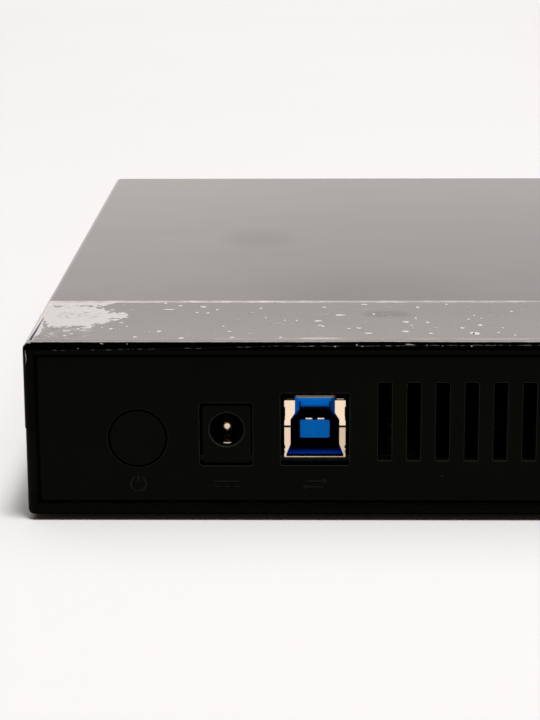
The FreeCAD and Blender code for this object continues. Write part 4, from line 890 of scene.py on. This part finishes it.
# Strips in lit and dim copies of the sheet's metal: painted highlight lines on the ears, dimmer on
# the left, and on the hump's lip, and painted shade on the fold above the lip
ear_dim = metal("ear_dim", (0.055, 0.045, 0.03), 0.35)
ear_lit = metal("ear_lit", (0.42, 0.37, 0.30), 0.35)
hump_lip_lit = metal("hump_lip_lit", (0.30, 0.27, 0.22), 0.35)
make_piece("socket_ear_left", *socket_strip(-5.35, -4.1, 1.14, 0.9, 0.35), ear_dim, "base")
make_piece("socket_ear_right", *socket_strip(4.1, 5.45, 1.12, 0.88, 0.35), ear_lit, "base")
make_piece("socket_hump_lip", *socket_strip(-3.3, 3.3, 0.66, 0.40, 0.02), hump_lip_lit, "base")
make_piece("socket_hump_fold", *socket_strip(-3.3, 3.3, 0.40, 0.20, 0.02), ear_dim, "base")


def side_strip():
    """Bare polished strip of the cover's left edge, just outside the film."""
    start, length = -97.2, 19.0
    inner, width = 1.62, 0.55
    steps = 12
    corners = []
    faces = []
    for number in range(steps + 1):
        share = number / steps
        y = (start + share * length) * MM
        for inward in (inner, inner - width * (1.0 - 0.8 * share)):
            corners.append((cover_low.x + inward * MM, y, FILM_TOP + 0.02 * MM))
        if number:
            last = 2 * number
            faces.append((last - 2, last - 1, last + 1, last))
    return corners, faces


make_piece("side_strip", *side_strip(), side_blue, "cover")


def edge_strip(top_angle, low_angle, lift, rows, step, x_low, x_high):
    """Strip round the cover's socket end, between two angles that vary along it."""
    corners = []
    faces = []
    count = int((x_high - x_low) / step)
    for number in range(count + 1):
        x = x_low + step * number
        start, end = top_angle(x), low_angle(x)
        for row in range(rows):
            corners.append(on_rounding(x, start + (end - start) * row / (rows - 1), lift))
        if number:
            for row in range(rows - 1):
                here = number * rows + row
                faces.append((here - rows, here - rows + 1, here + 1, here))
    return corners, faces


def worn_start(x):
    """The film's torn edge: it ends a little earlier near the middle."""
    wobble = math.sin(x * 1.3) + math.sin(x * 3.1 + 1.0) + 0.6 * math.sin(x * 7.7 + 2.0)
    middle = math.exp(-((x - 7.0) / 9.0) ** 2)
    return 17.0 - 6.0 * middle + 0.9 * wobble


def worn_end(x):
    return 84.0


def sheen_start(x):
    return sheen_angle(x) - 2.0


def sheen_end(x):
    return sheen_angle(x) + 2.0


# The bare rounding past the film's torn edge, in painted shade
bare_rounding_shade = edge_strip(worn_start, worn_end, BARE_ROUNDING_LIFT, 12, 0.5, -58.4, 58.4)
make_piece("bare_rounding_shade", *bare_rounding_shade, shade_black, "cover")
# A faint strip of painted sheen along the same line
sheen_line = edge_strip(sheen_start, sheen_end, SHEEN_LIFT, 2, 1.0, -54.0, 58.0)
make_piece("sheen_line", *sheen_line, sheen_faint, "cover")


def make_floor():
    """Pale floor: warm white in mirrors and clear parts, and the backdrop when far away."""
    half = FLOOR_SIZE / 2
    corners = [(-half, -half, 0), (half, -half, 0), (half, half, 0), (-half, half, 0)]
    mesh = bpy.data.meshes.new("floor")
    mesh.from_pydata(corners, [], [(0, 1, 2, 3)])
    floor = add_object("floor", mesh)
    g = Graph("floor")
    shader = g.shader(0.9, 0.0)
    tone = g.ramp(g.noise(2.0, detail=2.0), 0.3, 0.7)
    colour = g.mix(tone, toned(FLOOR_COLOUR, 0.985), FLOOR_COLOUR)
    g.link(colour, shader.inputs["Base Color"])
    path = g.add("ShaderNodeLightPath").outputs
    mirrored = g.math("MAXIMUM", path["Is Glossy Ray"], path["Is Transmission Ray"])
    x, y, _ = g.axes()
    far = g.ramp(g.length(x, y), BACKDROP_START, BACKDROP_FULL)
    seen_far = g.product(far, path["Is Camera Ray"])
    result = shader.outputs["BSDF"]
    for chosen, glow in ((mirrored, WARM_WHITE), (seen_far, BACKDROP_COLOUR)):
        emission = g.add("ShaderNodeEmission")
        emission.inputs["Color"].default_value = glow + (1.0,)
        either = g.add("ShaderNodeMixShader")
        g.link(chosen, either.inputs["Fac"])
        g.link(result, either.inputs[1])
        g.link(emission.outputs["Emission"], either.inputs[2])
        result = either.outputs["Shader"]
    g.link(result, g.output.inputs["Surface"])
    mesh.materials.append(g.material)


def make_world():
    """White to the camera, warm white in reflections, and a dimmer fill light."""
    world = bpy.data.worlds.new("studio")
    bpy.context.scene.world = world
    world.use_nodes = True
    nodes = world.node_tree.nodes
    links = world.node_tree.links
    nodes.clear()

    def background(colour):
        node = nodes.new("ShaderNodeBackground")
        node.inputs["Color"].default_value = colour + (1.0,)
        return node.outputs["Background"]

    path = nodes.new("ShaderNodeLightPath").outputs
    mirrored = nodes.new("ShaderNodeMath")
    mirrored.operation = "MAXIMUM"
    links.new(path["Is Glossy Ray"], mirrored.inputs[0])
    links.new(path["Is Transmission Ray"], mirrored.inputs[1])
    result = background(WORLD_DIFFUSE)
    in_mirrors = (mirrored.outputs["Value"], WARM_WHITE)
    to_camera = (path["Is Camera Ray"], WHITE)
    for chosen, colour in (in_mirrors, to_camera):
        mix = nodes.new("ShaderNodeMixShader")
        links.new(chosen, mix.inputs["Fac"])
        links.new(result, mix.inputs[1])
        links.new(background(colour), mix.inputs[2])
        result = mix.outputs["Shader"]
    output = nodes.new("ShaderNodeOutputWorld")
    links.new(result, output.inputs["Surface"])


def make_lamp(name, place, target, size, power, spread):
    light = bpy.data.lights.new(name, "AREA")
    light.shape = "SQUARE"
    light.size = size
    light.energy = power
    light.spread = math.radians(spread)
    lamp = add_object(name, light)
    lamp.location = place
    lamp.rotation_euler = (Vector(target) - Vector(place)).to_track_quat("-Z", "Y").to_euler()
    lamp.visible_glossy = False


def make_camera():
    data = bpy.data.cameras.new("camera")
    data.sensor_width = CAMERA_SENSOR
    data.lens = CAMERA_LENS
    data.clip_start = 0.01
    data.clip_end = 50.0
    camera = add_object("camera", data)
    camera.location = CAMERA_PLACE
    aim = Matrix.Rotation(CAMERA_YAW, 3, "Z") @ Matrix.Rotation(math.pi / 2 - CAMERA_PITCH, 3, "X")
    camera.rotation_euler = (aim @ Matrix.Rotation(CAMERA_ROLL, 3, "Z")).to_euler()
    bpy.context.scene.camera = camera


make_floor()
make_world()
for lamp in LAMPS:
    make_lamp(*lamp)
make_camera()
bpy.context.scene.view_settings.view_transform = "Standard"
